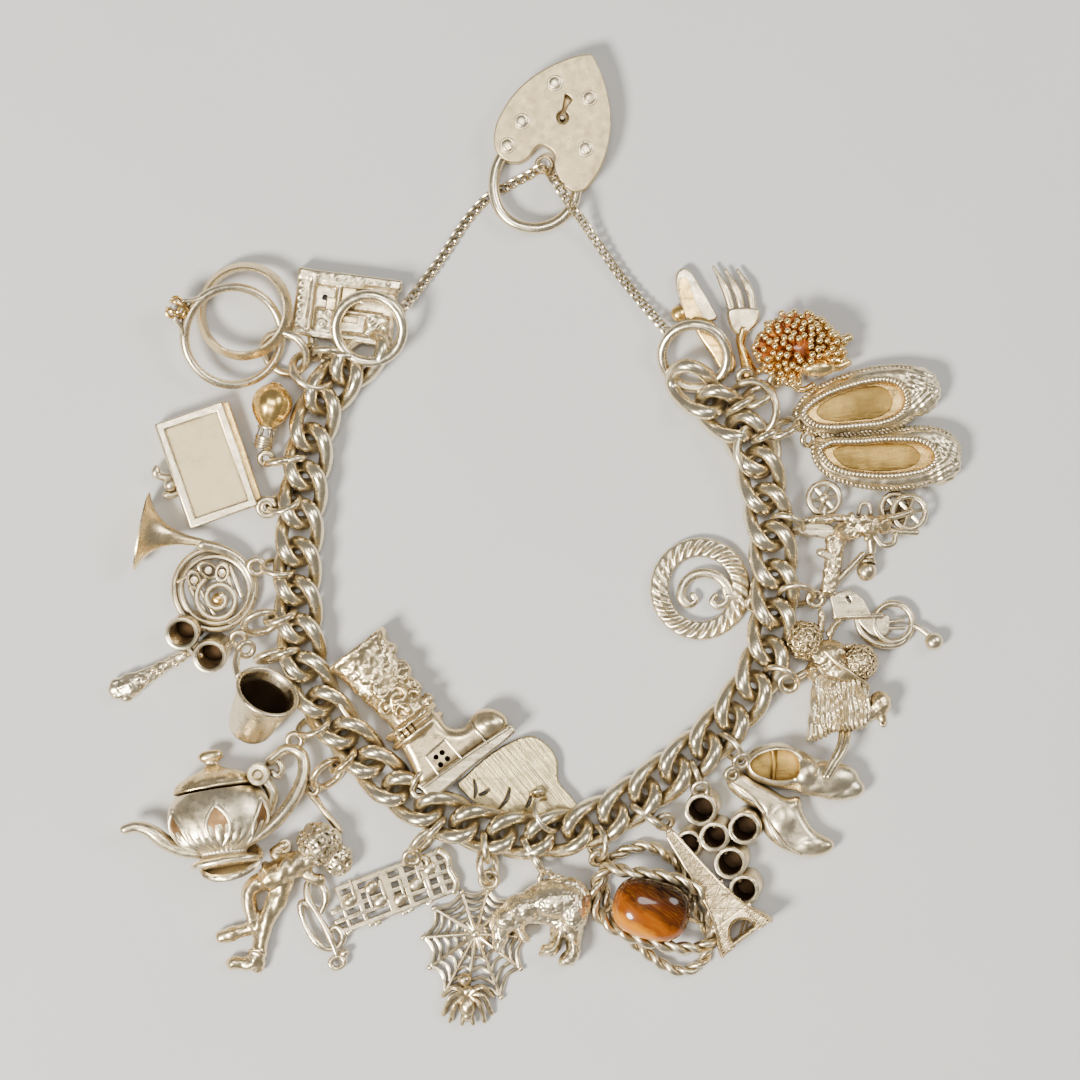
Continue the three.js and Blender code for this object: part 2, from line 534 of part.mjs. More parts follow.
function slippers() {
  const first = shoe([36.4, 17], [53.4, 21.2], 6.4, 4.2, 1, 0.58);
  const second = shoe([37.6, 11.5], [56.4, 11.3], 6.4, 4, 1, 0.58);
  return fuse(first, second, rod([[39.4, 16, 1.6], [40, 13, 1.6]], 0.8));
}

function hedgehog() {
  const back = ball(4.6, 12).scale([1.32, 0.8, 0.8]).rotate([0, 0, 6]).translate([35.5, 26.4, 3.7]);
  const nose = ball(1.5, 7).scale([1.4, 1, 1]).translate([40.6, 25.4, 2.6]);
  const paws = [[38.6, 23.8], [34, 23.5]].map(([x, y]) => at(ball(1.2, 7), x, y, 1.3));
  return fuse(back, nose, paws);
}

function cutlery() {
  const knife = fuse(slab([[19.9, 36.4], [18.9, 34.8], [21.4, 29], [23.2, 29.6]], 0.5, 1.4),
    rod([[22.4, 29.4, 0.95], [26.6, 22.9, 1.2]], 0.5));
  const tines = [[24.2, 36.5], [25.8, 36.7], [27.4, 36.5]].map(([x, y]) =>
    rod([[x, y, 1], [26.3 + (x - 25.8) * 0.8, 31, 1]], 0.36, { sides: 4 }));
  const fork = fuse(slab([[24.6, 31.8], [28, 31.8], [28.2, 28.6], [27.4, 27], [26.4, 28.4]], 0.5, 1.5),
    rod([[27.4, 28, 1], [27.6, 23, 1.2]], 0.5), tines);
  return fuse(knife, fork, rod([[26.2, 23.2, 1.2], [27.8, 23.2, 1.2]], 0.6));
}

// ---------------------------------------------------------------- assembly
const pot = teapotParts();
// Where each hung charm is held: the eye its jump ring takes, the bar that carries the eye and the link.
const HUNG = {
  cabinet: { body: cabinet(), eye: [-29.4, 25.2], bar: [-29.6, 28.6, 1.4] },
  hot_air_balloon: { body: balloon(), eye: [-35.6, 10.3], bar: [-36.3, 12.4, 2.6] },
  book: { body: book(), eye: [-35.4, 4.4], bar: [-37, 5.6, 2] },
  french_horn: { body: frenchHorn(), eye: [-36.2, -3.2], bar: [-38.2, -4.2, 1.5] },
  opera_glasses: { body: operaGlasses(), eye: [-38.6, -11.6], bar: [-42, -14.4, 2.6] },
  thimble: { body: thimble(), eye: [-37, -15.9], bar: [-38.1, -19.1, 5.2] },
  teapot: { body: pot.pot, eye: [-31.4, -25.4], bar: [-31.5, -27.6, 2.4] },
  figure: { body: figure(), eye: [-29.2, -32.6], bar: [-30, -34.2, 1.4] },
  music_stave: { body: musicStave(), eye: [-16.2, -41.4], bar: [-17, -43.8, 1.4] },
  cowboy_boot: { body: boot(), eye: [-13, -30.3], bar: [-12.4, -28.8, 2.8] },
  elephant_plate: { body: plate(), eye: [0.6, -34.4], bar: [0.4, -33, 1.1] },
  spider_web: { body: spiderWeb(), eye: [-5.9, -45.4], bar: [-6.6, -47, 1.1] },
  bear: { body: bear(), eye: [1.2, -44.1], bar: [1.9, -46.2, 2.9] },
  rope_cage: { body: ropeCage(), eye: [8.6, -42.4], bar: [9.3, -46.6, 1.6] },
  lattice_tower: { body: latticeTower(), eye: [17.3, -38.2], bar: [18.3, -39.8, 2.4] },
  tube_cluster: { body: tubeCluster(), eye: [22.1, -32.2], bar: [22.2, -34, 2] },
  clogs: { body: clogs(), eye: [27.4, -29.2], bar: [29.4, -29.9, 2] },
  shaggy_bird: { body: bird(), eye: [34.9, -19], bar: [36.6, -17.4, 2.6] },
  treble_clef: { body: trebleClef(), eye: [37.2, -7.3], bar: [39.4, -8, 1.2] },
  spiral_disc: { body: spiralDisc(), eye: [26.8, -8.2] },
  tricycle: { body: tricycle(), eye: [35.8, 1.5], bar: [37.4, 2.4, 1.5] },
  slippers: { body: slippers(), eye: [35, 15.9], bar: [37.2, 16.6, 2] },
  hedgehog: { body: hedgehog(), eye: [31.6, 20.4], bar: [33.6, 24.2, 2.6] },
  knife_and_fork: { body: cutlery(), eye: [28.5, 21.3], bar: [27.8, 22.9, 1.2] },
};

function nearestLink(eye, taken) {
  let best = -1;
  let least = Infinity;
  linkPlaces.forEach((place, i) => {
    const away = Math.hypot(place.x - eye[0], place.y - eye[1]);
    if (away < least && !taken.has(i)) {
      best = i;
      least = away;
    }
  });
  return best;
}

const taken = new Set([LINK_COUNT - 1]);
const rings = { ring_pair: { link: 1, eye: [-35.8, 26.8] } };
taken.add(1);
for (const [name, charm] of Object.entries(HUNG)) {
  charm.link = nearestLink(charm.eye, taken);
  taken.add(charm.link);
  rings[name] = { link: charm.link, eye: charm.eye };
}

function hungCharm({ body, eye, bar, link }) {
  const ring = jumpRing(link, eye);
  if (!bar) return fuse(body, ring);
  return fuse(body, ring, rod([bar, [...eye, CHAIN_Z]], 0.55, { sides: 4 }));
}

const fatRings = fuse(
  Object.values(rings).map((ring) => jumpRing(ring.link, ring.eye, CLEAR)), endRingLeft(CLEAR),
    endRingRight(CLEAR));

const wide = {
  end_ring_left: endRingLeft(CLEAR),
  ring_pair_jump_ring: jumpRing(rings.ring_pair.link, rings.ring_pair.eye, CLEAR),
  lattice_tower: latticeTower(CLEAR),
};
const solids = {};
for (let section = 0; section < SECTIONS; section += 1) {
  const first = Math.round((section * LINK_COUNT) / SECTIONS);
  const next = Math.round(((section + 1) * LINK_COUNT) / SECTIONS);
  const places = linkPlaces.slice(first, next);
  const links = fuse(places.map((place) => curbLink(place)));
  const cut = next < LINK_COUNT ? links.subtract(curbLink(linkPlaces[next], CLEAR)) : links;
  solids[`chain_section_${section + 1}`] = cut.subtract(fatRings);
  wide[`chain_section_${section + 1}`] = fuse(places.map((place) => curbLink(place, CLEAR)));
}
solids.end_ring_left = endRingLeft();
solids.end_ring_right = endRingRight();
solids.safety_chain = safetyChain();
solids.padlock_body = padlockBody();
solids.padlock_shackle = padlockShackle();
solids.wedding_band = weddingBand();
solids.solitaire_ring = solitaireRing();
solids.ring_pair_jump_ring = jumpRing(rings.ring_pair.link, rings.ring_pair.eye);
solids.teapot_lid = pot.lid;
solids.tiger_eye_stone = stoneShape();
for (const [name, charm] of Object.entries(HUNG)) solids[name] = hungCharm(charm);

// Charms that touch where they lie: each is cut back a gap from the ones it names.
const RESTS_AGAINST = {
  cabinet: ["chain_section_1", "end_ring_left", "ring_pair_jump_ring"],
  hot_air_balloon: ["ring_pair_jump_ring", "chain_section_1"],
  wedding_band: ["ring_pair_jump_ring"],
  solitaire_ring: ["ring_pair_jump_ring"],
  book: ["chain_section_2"],
  french_horn: ["chain_section_2", "book"],
  teapot: ["chain_section_3", "teapot_lid"],
  opera_glasses: ["french_horn"],
  cowboy_boot: ["chain_section_3", "chain_section_4"],
  elephant_plate: ["cowboy_boot"],
  spider_web: ["music_stave"],
  bear: ["rope_cage"],
  rope_cage: ["lattice_tower"],
  tube_cluster: ["chain_section_5", "chain_section_6", "lattice_tower"],
  clogs: ["chain_section_6", "tube_cluster"],
  shaggy_bird: ["chain_section_6", "chain_section_7"],
  tricycle: ["chain_section_7"],
  slippers: ["knife_and_fork"],
  hedgehog: ["knife_and_fork"],
};
for (const [name, others] of Object.entries(RESTS_AGAINST)) {
  for (const other of others) solids[name] = solids[name].subtract(wide[other] ?? grown(solids[other]));
}

const LOOKS = { tiger_eye_stone: STONE, hedgehog: ENAMEL, hot_air_balloon: GILT };
const bracelet = new THREE.Group();
bracelet.name = "charm_bracelet";
for (const [name, body] of Object.entries(solids)) {
  const mesh = largest(body).getMesh();
  const geometry = new THREE.BufferGeometry();
  geometry.setAttribute("position", new THREE.BufferAttribute(mesh.vertProperties, 3));
  geometry.setIndex(new THREE.BufferAttribute(mesh.triVerts, 1));
  const node = new THREE.Mesh(geometry, new THREE.MeshStandardMaterial(LOOKS[name] ?? SILVER));
  node.name = name;
  bracelet.add(node);
}

// The origin is the middle of the footprint, on the surface the bracelet lies on.
const extent = new THREE.Box3().setFromObject(bracelet);
const middle = extent.getCenter(new THREE.Vector3());
bracelet.position.set(-middle.x, -middle.y, -extent.min.z);

export default bracelet;
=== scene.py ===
import math

import bpy
import numpy as np
from mathutils import Euler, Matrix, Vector


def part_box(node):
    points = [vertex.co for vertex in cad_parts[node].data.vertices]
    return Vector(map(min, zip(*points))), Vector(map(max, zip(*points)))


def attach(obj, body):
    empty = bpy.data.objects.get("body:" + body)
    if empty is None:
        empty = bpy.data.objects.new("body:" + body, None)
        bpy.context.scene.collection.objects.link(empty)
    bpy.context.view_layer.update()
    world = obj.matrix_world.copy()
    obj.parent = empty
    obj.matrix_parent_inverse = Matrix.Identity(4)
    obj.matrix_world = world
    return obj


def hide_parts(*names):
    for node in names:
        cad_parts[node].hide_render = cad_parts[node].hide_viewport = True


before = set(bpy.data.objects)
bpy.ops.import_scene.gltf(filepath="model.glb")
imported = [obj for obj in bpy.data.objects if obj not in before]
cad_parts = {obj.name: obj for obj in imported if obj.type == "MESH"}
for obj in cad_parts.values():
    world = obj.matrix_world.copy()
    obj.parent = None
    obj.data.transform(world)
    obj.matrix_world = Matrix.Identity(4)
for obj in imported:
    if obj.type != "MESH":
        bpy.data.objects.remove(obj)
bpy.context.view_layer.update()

MM = 0.001
RNG = np.random.default_rng(11)
GOLDEN_ANGLE = 2.39996

# The layout below is in millimetres about the middle of the loop. The stone is the same on
# both sides of its middle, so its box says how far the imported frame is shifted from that.
STONE_AT = np.array([15.6, -49.2])
low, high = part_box("tiger_eye_stone")
middle = np.array([(low.x + high.x) / 2, (low.y + high.y) / 2]) / MM
SHIFT = np.array([middle[0] - STONE_AT[0], middle[1] - STONE_AT[1], 0.0])

CHAIN_Z = 2.35


# ---------------------------------------------------------------- shapes as vertices and faces

def merge(*parts):
    """Several (vertices, faces) shapes, or lists of them, as one."""
    flat = [merge(*part) if isinstance(part, list) else part for part in parts]
    verts, faces, count = [], [], 0
    for v, f in flat:
        verts.append(np.asarray(v, float).reshape(-1, 3))
        faces.extend(tuple(i + count for i in face) for face in f)
        count += len(v)
    return np.concatenate(verts), faces


def moved(part, shift=(0, 0, 0), turn=(0, 0, 0), scale=(1, 1, 1)):
    """The shape scaled, turned about x, y and z in degrees, then shifted."""
    v, f = part
    scale = np.asarray(scale, float) * np.ones(3)
    m = np.array(Euler([math.radians(a) for a in turn]).to_matrix())
    out = (np.asarray(v) * scale) @ m.T + np.asarray(shift, float)
    mirrored = np.prod(np.sign(scale)) < 0
    return out, [tuple(reversed(face)) for face in f] if mirrored else f


def around(steps):
    """Evenly spaced angles once round."""
    return np.linspace(0, 2 * math.pi, steps, endpoint=False)


def spline(points, count, closed=False):
    """A smooth curve through the points, as evenly spaced points."""
    p = np.asarray(points, float)
    n = len(p)
    if n == 2 and not closed:
        t = np.linspace(0, 1, count)[:, None]
        return p[0] * (1 - t) + p[1] * t
    fine = []
    for i in range(n if closed else n - 1):
        if closed:
            a, b, c, d = p[(i - 1) % n], p[i], p[(i + 1) % n], p[(i + 2) % n]
        else:
            b, c = p[i], p[i + 1]
            a = p[i - 1] if i else 2 * b - c
            d = p[i + 2] if i + 2 < n else 2 * c - b
        k = [0.0]
        for s, e in ((a, b), (b, c), (c, d)):
            k.append(k[-1] + max(np.linalg.norm(e - s), 1e-6) ** 0.5)
        for t in np.linspace(k[1], k[2], 24, endpoint=False):
            a1 = ((k[1] - t) * a + t * b) / k[1] if k[1] else b
            a2 = ((k[2] - t) * b + (t - k[1]) * c) / (k[2] - k[1])
            a3 = ((k[3] - t) * c + (t - k[2]) * d) / (k[3] - k[2])
            b1 = ((k[2] - t) * a1 + t * a2) / k[2]
            b2 = ((k[3] - t) * a2 + (t - k[1]) * a3) / (k[3] - k[1])
            fine.append(((k[2] - t) * b1 + (t - k[1]) * b2) / (k[2] - k[1]))
    fine.append(p[0] if closed else p[-1])
    fine = np.array(fine)
    along = np.concatenate([[0], np.cumsum(np.linalg.norm(np.diff(fine, axis=0), axis=1))])
    want = np.linspace(0, along[-1], count, endpoint=not closed)
    return np.stack([np.interp(want, along, fine[:, j]) for j in range(fine.shape[1])], axis=1)


def at_height(curve, z):
    """A flat curve as points at one height."""
    return np.column_stack([curve, np.full(len(curve), z)])


def finer(profile, step):
    """The profile's straight spans cut into pieces of about that length, its end left out."""
    out = []
    for a, b in zip(profile[:-1], profile[1:]):
        n = max(1, int(math.hypot(b[0] - a[0], b[1] - a[1]) / step))
        out += [(a[0] + (b[0] - a[0]) * k / n, a[1] + (b[1] - a[1]) * k / n) for k in range(n)]
    return out


def frames(points, closed):
    """Tangents and two cross directions along a curve, turning as little as they can."""
    p = np.asarray(points, float)
    if closed:
        tangent = np.roll(p, -1, axis=0) - np.roll(p, 1, axis=0)
    else:
        tangent = np.gradient(p, axis=0)
    tangent /= np.maximum(np.linalg.norm(tangent, axis=1), 1e-9)[:, None]
    start = np.array([0, 0, 1.0]) if abs(tangent[0][2]) < 0.9 else np.array([1.0, 0, 0])
    side = [np.cross(start, tangent[0])]
    side[0] /= np.linalg.norm(side[0])
    for i in range(1, len(p)):
        s = side[-1] - tangent[i] * np.dot(side[-1], tangent[i])
        side.append(s / max(np.linalg.norm(s), 1e-9))
    side = np.array(side)
    if closed:
        last = side[-1] - tangent[0] * np.dot(side[-1], tangent[0])
        gap = math.atan2(np.dot(np.cross(last, side[0]), tangent[0]), np.dot(last, side[0]))
        for i in range(len(p)):
            a = gap * i / len(p)
            other = np.cross(tangent[i], side[i])
            side[i] = side[i] * math.cos(a) + other * math.sin(a)
    return tangent, side, np.cross(tangent, side)


def skin(rows, sides, closed=False):
    """Faces over rows of points that each go once round. Ends get a cap unless closed."""
    faces = []
    for i in range(rows if closed else rows - 1):
        j = (i + 1) % rows
        for k in range(sides):
            k2 = (k + 1) % sides
            faces.append((i * sides + k, i * sides + k2, j * sides + k2, j * sides + k))
    if not closed:
        faces.append(tuple(range(sides - 1, -1, -1)))
        faces.append(tuple((rows - 1) * sides + k for k in range(sides)))
    return faces


def tube(points, radius, sides=12, closed=False, flat=1.0):
    """A round wire with round ends along a curve. radius may change; flat squashes it."""
    p = np.asarray(points, float)
    n = len(p)
    r = np.broadcast_to(np.asarray(radius, float), (n,)).copy()
    tangent, side, up = frames(p, closed)
    rows = [(p[i], r[i], i) for i in range(n)]
    if not closed:
        cap_steps = np.array([1.0, 0.87, 0.5])
        head = [(p[0] - tangent[0] * r[0] * c, r[0] * math.sqrt(max(1 - c * c, 0.0)), 0)
                for c in cap_steps]
        tail = [(p[-1] + tangent[-1] * r[-1] * c, r[-1] * math.sqrt(max(1 - c * c, 0.0)), n - 1)
                for c in cap_steps[::-1]]
        rows = head + rows + tail
    a = around(sides)
    verts = [centre + max(rad, 0.004) * (np.cos(a)[:, None] * side[i]
                                         + np.sin(a)[:, None] * up[i] * flat)
             for centre, rad, i in rows]
    return np.concatenate(verts), skin(len(rows), sides, closed)


def rod(points, count, radius, sides=12, flat=1.0):
    """A round wire along a smooth curve through the points."""
    return tube(spline(points, count), radius, sides, flat=flat)


def ring(radius, wire, sides=12, steps=48, flat=1.0):
    """A closed round wire about z."""
    a = around(steps)
    return tube(np.stack([radius * np.cos(a), radius * np.sin(a), 0 * a], axis=1),
                wire, sides, closed=True, flat=flat)


def oval(rx, ry, steps=64):
    a = around(steps)
    return np.stack([rx * np.cos(a), ry * np.sin(a)], axis=1)


def revolve(profile, steps=48, shape=None):
    """(radius, z) points turned about z. shape(angle, r, z) may change the radius."""
    a = around(steps)
    verts = []
    for r, z in np.asarray(profile, float):
        rr = np.array([shape(t, r, z) for t in a]) if shape else np.full(steps, r)
        rr = np.maximum(rr, 0.003)
        verts.append(np.stack([rr * np.cos(a), rr * np.sin(a), np.full(steps, z)], axis=1))
    return np.concatenate(verts), skin(len(verts), steps)


def band(section, steps=72):
    """A ring of any section: closed (radius, z) outline turned about z."""
    a = around(steps)
    verts = [np.stack([r * np.cos(a), r * np.sin(a), np.full(steps, z)], axis=1)
             for r, z in np.asarray(section, float)]
    return np.concatenate(verts), skin(len(verts), steps, True)


def ball(centre, radii, steps=24):
    """A round or egg-shaped body."""
    r = np.broadcast_to(np.asarray(radii, float), (3,))
    t = np.linspace(-math.pi / 2, math.pi / 2, steps // 2 + 1)
    prof = [(math.cos(x), math.sin(x)) for x in t]
    return moved(revolve(prof, steps), centre, (0, 0, 0), r)


def dome(count, low, span, top=1.0):
    """Directions spread evenly over a dome from height low upward, with height and angle."""
    for k in range(count):
        h = min(low + span * (k + 0.5) / count, top)
        a = k * GOLDEN_ANGLE
        s = math.sqrt(max(0.0, 1 - h * h))
        yield np.array([s * math.cos(a), s * math.sin(a), h]), h, a


# ---------------------------------------------------------------- shapes made with Blender's tools

def shown(name, data):
    """A new object in the scene."""
    ob = bpy.data.objects.new(name, data)
    bpy.context.scene.collection.objects.link(ob)
    return ob


def evaluated(ob):
    """An object's mesh, with its modifiers, as vertices and faces."""
    graph = bpy.context.evaluated_depsgraph_get()
    graph.update()
    mesh = ob.evaluated_get(graph).to_mesh()
    co = np.zeros(len(mesh.vertices) * 3)
    mesh.vertices.foreach_get("co", co)
    faces = [tuple(p.vertices) for p in mesh.polygons]
    ob.evaluated_get(graph).to_mesh_clear()
    return co.reshape(-1, 3), faces


def plate(outline, z0, z1, bevel=0.12, holes=(), steps=2):
    """A flat shape with rounded edges between two heights, with holes through it."""
    curve = bpy.data.curves.new("tmp", "CURVE")
    curve.dimensions = "2D"
    curve.fill_mode = "BOTH"
    curve.resolution_u = 1
    half = (z1 - z0) / 2
    bevel = min(bevel, half * 0.98)
    curve.extrude = half - bevel
    curve.bevel_depth = bevel
    curve.bevel_resolution = steps
    curve.offset = -bevel
    for loop in (outline, *holes):
        s = curve.splines.new("POLY")
        s.points.add(len(loop) - 1)
        for i, q in enumerate(loop):
            s.points[i].co = (q[0], q[1], 0, 1)
        s.use_cyclic_u = True
    ob = shown("tmp", curve)
    part = evaluated(ob)
    bpy.data.objects.remove(ob)
    bpy.data.curves.remove(curve)
    return moved(part, (0, 0, (z0 + z1) / 2))


def slab(points, count, z0, z1, bevel=0.12, holes=(), steps=2):
    """A plate whose outline is a smooth curve through the points."""
    return plate(spline(points, count, closed=True), z0, z1, bevel, holes, steps)


def block(size, centre, turn=0.0, bevel=0.15):
    """A rectangular body with rounded edges."""
    x, y, z = [s / 2 for s in size]
    b = plate([(-x, -y), (x, -y), (x, y), (-x, y)], -z, z, bevel)
    return moved(b, centre, (0, 0, turn))


def as_mesh(name, part):
    v, f = part
    mesh = bpy.data.meshes.new(name)
    mesh.from_pydata(np.asarray(v).tolist(), [], f)
    mesh.update()
    return mesh


def through_modifiers(part, *steps):
    """The shape after a few modifiers, each a (type, settings) pair."""
    mesh = as_mesh("tmp", part)
    ob = shown("tmp", mesh)
    for kind, settings in steps:
        mod = ob.modifiers.new(kind.lower(), kind)
        for key, value in settings.items():
            setattr(mod, key, value)
    out = evaluated(ob)
    bpy.data.objects.remove(ob)
    bpy.data.meshes.remove(mesh)
    return out


def fused(voxel):
    return "REMESH", {"mode": "VOXEL", "voxel_size": voxel, "use_smooth_shade": True}


def softened(times):
    return "SMOOTH", {"factor": 0.5, "iterations": times}


def cast(parts, voxel=0.17, soften=3):
    """Overlapping shapes fused into one skin with soft inner corners, as a casting has."""
    return through_modifiers(merge(*parts), fused(voxel), softened(soften))


def cut(part, *tools):
    """The shape with other shapes cut out of it."""
    for tool in tools:
        mesh = as_mesh("tool", tool)
        ob = shown("tool", mesh)
        part = through_modifiers(part, ("BOOLEAN", {"object": ob, "operation": "DIFFERENCE",
                                                     "solver": "EXACT"}))
        bpy.data.objects.remove(ob)
        bpy.data.meshes.remove(mesh)
    return part


# ---------------------------------------------------------------- uneven surfaces

def normals(part):
    """The outward direction at each vertex, larger faces counting for more."""
    v, f = part
    v = np.asarray(v)
    out = np.zeros_like(v)
    sizes = {}
    for face in f:
        sizes.setdefault(len(face), []).append(face)
    for size, group in sizes.items():
        g = np.array(group)
        n = np.zeros((len(g), 3))
        for i in range(1, size - 1):
            n += np.cross(v[g[:, i]] - v[g[:, 0]], v[g[:, i + 1]] - v[g[:, 0]])
        for i in range(size):
            np.add.at(out, g[:, i], n)
    return out / np.maximum(np.linalg.norm(out, axis=1), 1e-12)[:, None]


def scatter(i, j, k, seed):
    """A value from 0 to 1 that differs at random from one whole-numbered place to the next."""
    n = (i * 374761393 + j * 668265263 + k * 1442695041 + seed * 69069) & 0xFFFFFFFF
    n = ((n ^ (n >> 13)) * 1274126177) & 0xFFFFFFFF
    return ((n ^ (n >> 16)) & 0xFFFF) / 65535.0


def noise(points, size, seed=0):
    """Smooth random values from -1 to 1 that change over about size millimetres."""
    p = np.asarray(points) / size + 100.0
    i = np.floor(p).astype(np.int64)
    f = p - i
    f = f * f * (3 - 2 * f)
    total = 0
    for dx in (0, 1):
        for dy in (0, 1):
            for dz in (0, 1):
                w = (f[:, 0] if dx else 1 - f[:, 0]) * (f[:, 1] if dy else 1 - f[:, 1]) \
                    * (f[:, 2] if dz else 1 - f[:, 2])
                total = total + w * scatter(i[:, 0] + dx, i[:, 1] + dy, i[:, 2] + dz, seed)
    return total * 2 - 1


def pebbles(points, size, seed=0):
    """Rounded grains of about that size: 1 on top of each, 0 between them."""
    p = np.asarray(points) / size + 100.0
    i = np.floor(p).astype(np.int64)
    best = np.full(len(p), 9.0)
    for dx in (-1, 0, 1):
        for dy in (-1, 0, 1):
            for dz in (-1, 0, 1):
                c = i + np.array([dx, dy, dz])
                spot = np.stack([c[:, a] + 0.15 + 0.7 * scatter(c[:, 0], c[:, 1], c[:, 2], seed + a)
                                 for a in range(3)], axis=1)
                best = np.minimum(best, np.linalg.norm(spot - p, axis=1))
    return np.clip(1 - best / 0.75, 0, 1) ** 0.6


def pushed(part, amount):
    """The shape with each vertex moved outward by amount(vertices)."""
    v, f = part
    v = np.asarray(v)
    return v + normals(part) * amount(v)[:, None], f


def uneven(part, depth=0.03, size=0.8, seed=0):
    """The shape with a little random relief, coarse and fine."""
    return pushed(part, lambda v: depth * noise(v, size, seed)
                  + depth * 0.5 * noise(v, size / 3, seed))


# ---------------------------------------------------------------- turning shapes into pieces

def piece(name, parts, look, nodes=(), body="bracelet", sharp=35):
    """One object of the visual model, riding on a body and standing for CAD nodes."""
    v, f = merge(*parts) if isinstance(parts, list) else parts
    mesh = as_mesh(name, ((np.asarray(v) + SHIFT) * MM, f))
    mesh.shade_smooth()
    mesh.set_sharp_from_angle(angle=math.radians(sharp))
    mesh.materials.append(look)
    ob = shown(name, mesh)
    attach(ob, body)
    if nodes:
        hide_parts(*nodes)


# ---------------------------------------------------------------- materials

def fill_inputs(tree, n, inputs):
    """Sets a node's sockets by name or number, each to a value or to another socket."""
    for key, value in inputs.items():
        if isinstance(value, bpy.types.NodeSocket):
            tree.links.new(value, n.inputs[key])
        else:
            n.inputs[key].default_value = value


def node(tree, kind, inputs=None, **settings):
    """A new node with its settings made and its sockets set."""
    n = tree.nodes.new(kind)
    for key, value in settings.items():
        setattr(n, key, value)
    fill_inputs(tree, n, inputs or {})
    return n


def new_material(name):
    """A material, its node tree, its shader and the object's own coordinates."""
    m = bpy.data.materials.new(name)
    m.use_nodes = True
    tree = m.node_tree
    where = node(tree, "ShaderNodeTexCoord").outputs["Object"]
    return m, tree, tree.nodes["Principled BSDF"], where


def grain(tree, where, scale, detail=3.0, stretch=None, rough=0.55):
    """Noise. stretch is (lengths along x, y and z, turn) for a noise drawn out one way."""
    if stretch:
        where = node(tree, "ShaderNodeMapping",
                     {0: where, "Scale": [1 / v for v in stretch[0]], "Rotation": stretch[1]},
                     vector_type="TEXTURE").outputs[0]
    return node(tree, "ShaderNodeTexNoise", {"Vector": where, "Scale": scale, "Detail": detail,
                                             "Roughness": rough}).outputs["Fac"]


def ramp(tree, value, low, high, start=0.0, end=1.0):
    """The value carried from the range low to high into the range start to end."""
    return node(tree, "ShaderNodeMapRange", {"Value": value, 1: low, 2: high, 3: start, 4: end}
                ).outputs[0]


def blend(tree, amount, first, second):
    """A mix of two colours, each an (r, g, b) tuple or a socket."""
    n = node(tree, "ShaderNodeMix", {0: amount}, data_type="RGBA")
    for socket, colour in ((6, first), (7, second)):
        fill_inputs(tree, n, {socket: (*colour, 1) if isinstance(colour, tuple) else colour})
    return n.outputs[2]


def maths(tree, kind, first, second):
    """One step of arithmetic on two numbers or sockets."""
    return node(tree, "ShaderNodeMath", {0: first, 1: second}, operation=kind).outputs[0]


def openness(tree, reach):
    """1 in the open, towards 0 in hollows within reach millimetres."""
    return node(tree, "ShaderNodeAmbientOcclusion", {"Distance": reach * MM},
                samples=8).outputs["AO"]


def bumped(tree, height, strength, depth):
    """A normal that tilts with the height, depth millimetres from low to high."""
    return node(tree, "ShaderNodeBump", {"Height": height, "Strength": strength,
                                         "Distance": depth * MM}).outputs[0]


def old_metal(name, bright, warm, dark, rough=(0.2, 0.4), pits=0.1, lines=0.0, line_turn=0.0,
              hollow=0.9, reach=1.1, patchy=0.45):
    """Worn metal: bright where it rubs, warmer in patches, tarnish and painted shade in hollows."""
    m, tree, shader, where = new_material(name)
    broad = grain(tree, where, 190, 2)
    fine = grain(tree, where, 900, 4)
    dust = grain(tree, where, 3600, 3)
    colour = blend(tree, ramp(tree, broad, 0.4, 0.68, 0.0, patchy), bright, warm)
    # The hollows, found by ambient occlusion, take the dark colour: partly real tarnish, partly
    # painted shade.
    deep = maths(tree, "ADD", ramp(tree, openness(tree, reach), 0.28, 0.92, hollow, 0.0),
                 ramp(tree, fine, 0.56, 0.78, 0.0, 0.24))
    deep = node(tree, "ShaderNodeClamp", {0: deep}).outputs[0]
    wear = maths(tree, "ADD", ramp(tree, fine, 0.3, 0.7, rough[0], rough[1]),
                 maths(tree, "MULTIPLY", deep, 0.22))
    height = maths(tree, "ADD", maths(tree, "MULTIPLY", fine, 0.6),
                   maths(tree, "MULTIPLY", dust, 0.4))
    if lines:
        turn = (0, 0, math.radians(line_turn))
        brushed = grain(tree, where, 700, 3, ((0.06, 3.2, 1.0), turn), 0.7)
        height = maths(tree, "ADD", height, maths(tree, "MULTIPLY", brushed, lines))
    fill_inputs(tree, shader, {"Base Color": blend(tree, deep, colour, dark), "Metallic": 1.0,
                               "Roughness": wear, "Normal": bumped(tree, height, pits, 0.12)})
    return m


# Each metal's third colour is what its hollows darken to: tarnish and painted shade together.
SILVER = old_metal("old_silver", (0.90, 0.77, 0.53), (0.78, 0.61, 0.34), (0.15, 0.105, 0.045),
                   reach=1.3)
CHAIN_SILVER = old_metal("chain_silver", (0.93, 0.81, 0.57), (0.82, 0.66, 0.38),
                         (0.24, 0.175, 0.085), rough=(0.16, 0.32), pits=0.08, hollow=0.72,
                         reach=1.6)
BRUSHED = old_metal("brushed_silver", (0.70, 0.56, 0.32), (0.63, 0.49, 0.26), (0.24, 0.175, 0.08),
                    rough=(0.34, 0.5), pits=0.3, lines=0.9, line_turn=30, hollow=0.8, reach=0.5)
DIAGONAL = old_metal("diagonal_brushed", (0.48, 0.39, 0.21), (0.42, 0.33, 0.17), (0.17, 0.13, 0.06),
                     rough=(0.3, 0.46), pits=0.9, lines=2.6, line_turn=-50, hollow=0.7, reach=0.5)
GILT = old_metal("worn_gilt", (0.93, 0.62, 0.21), (0.86, 0.62, 0.28), (0.28, 0.15, 0.035),
                 rough=(0.16, 0.34), hollow=0.85)
WARM = old_metal("warm_silver", (0.87, 0.70, 0.42), (0.78, 0.57, 0.28), (0.13, 0.08, 0.03),
                 rough=(0.2, 0.38), patchy=0.6, hollow=1.0, reach=1.3)
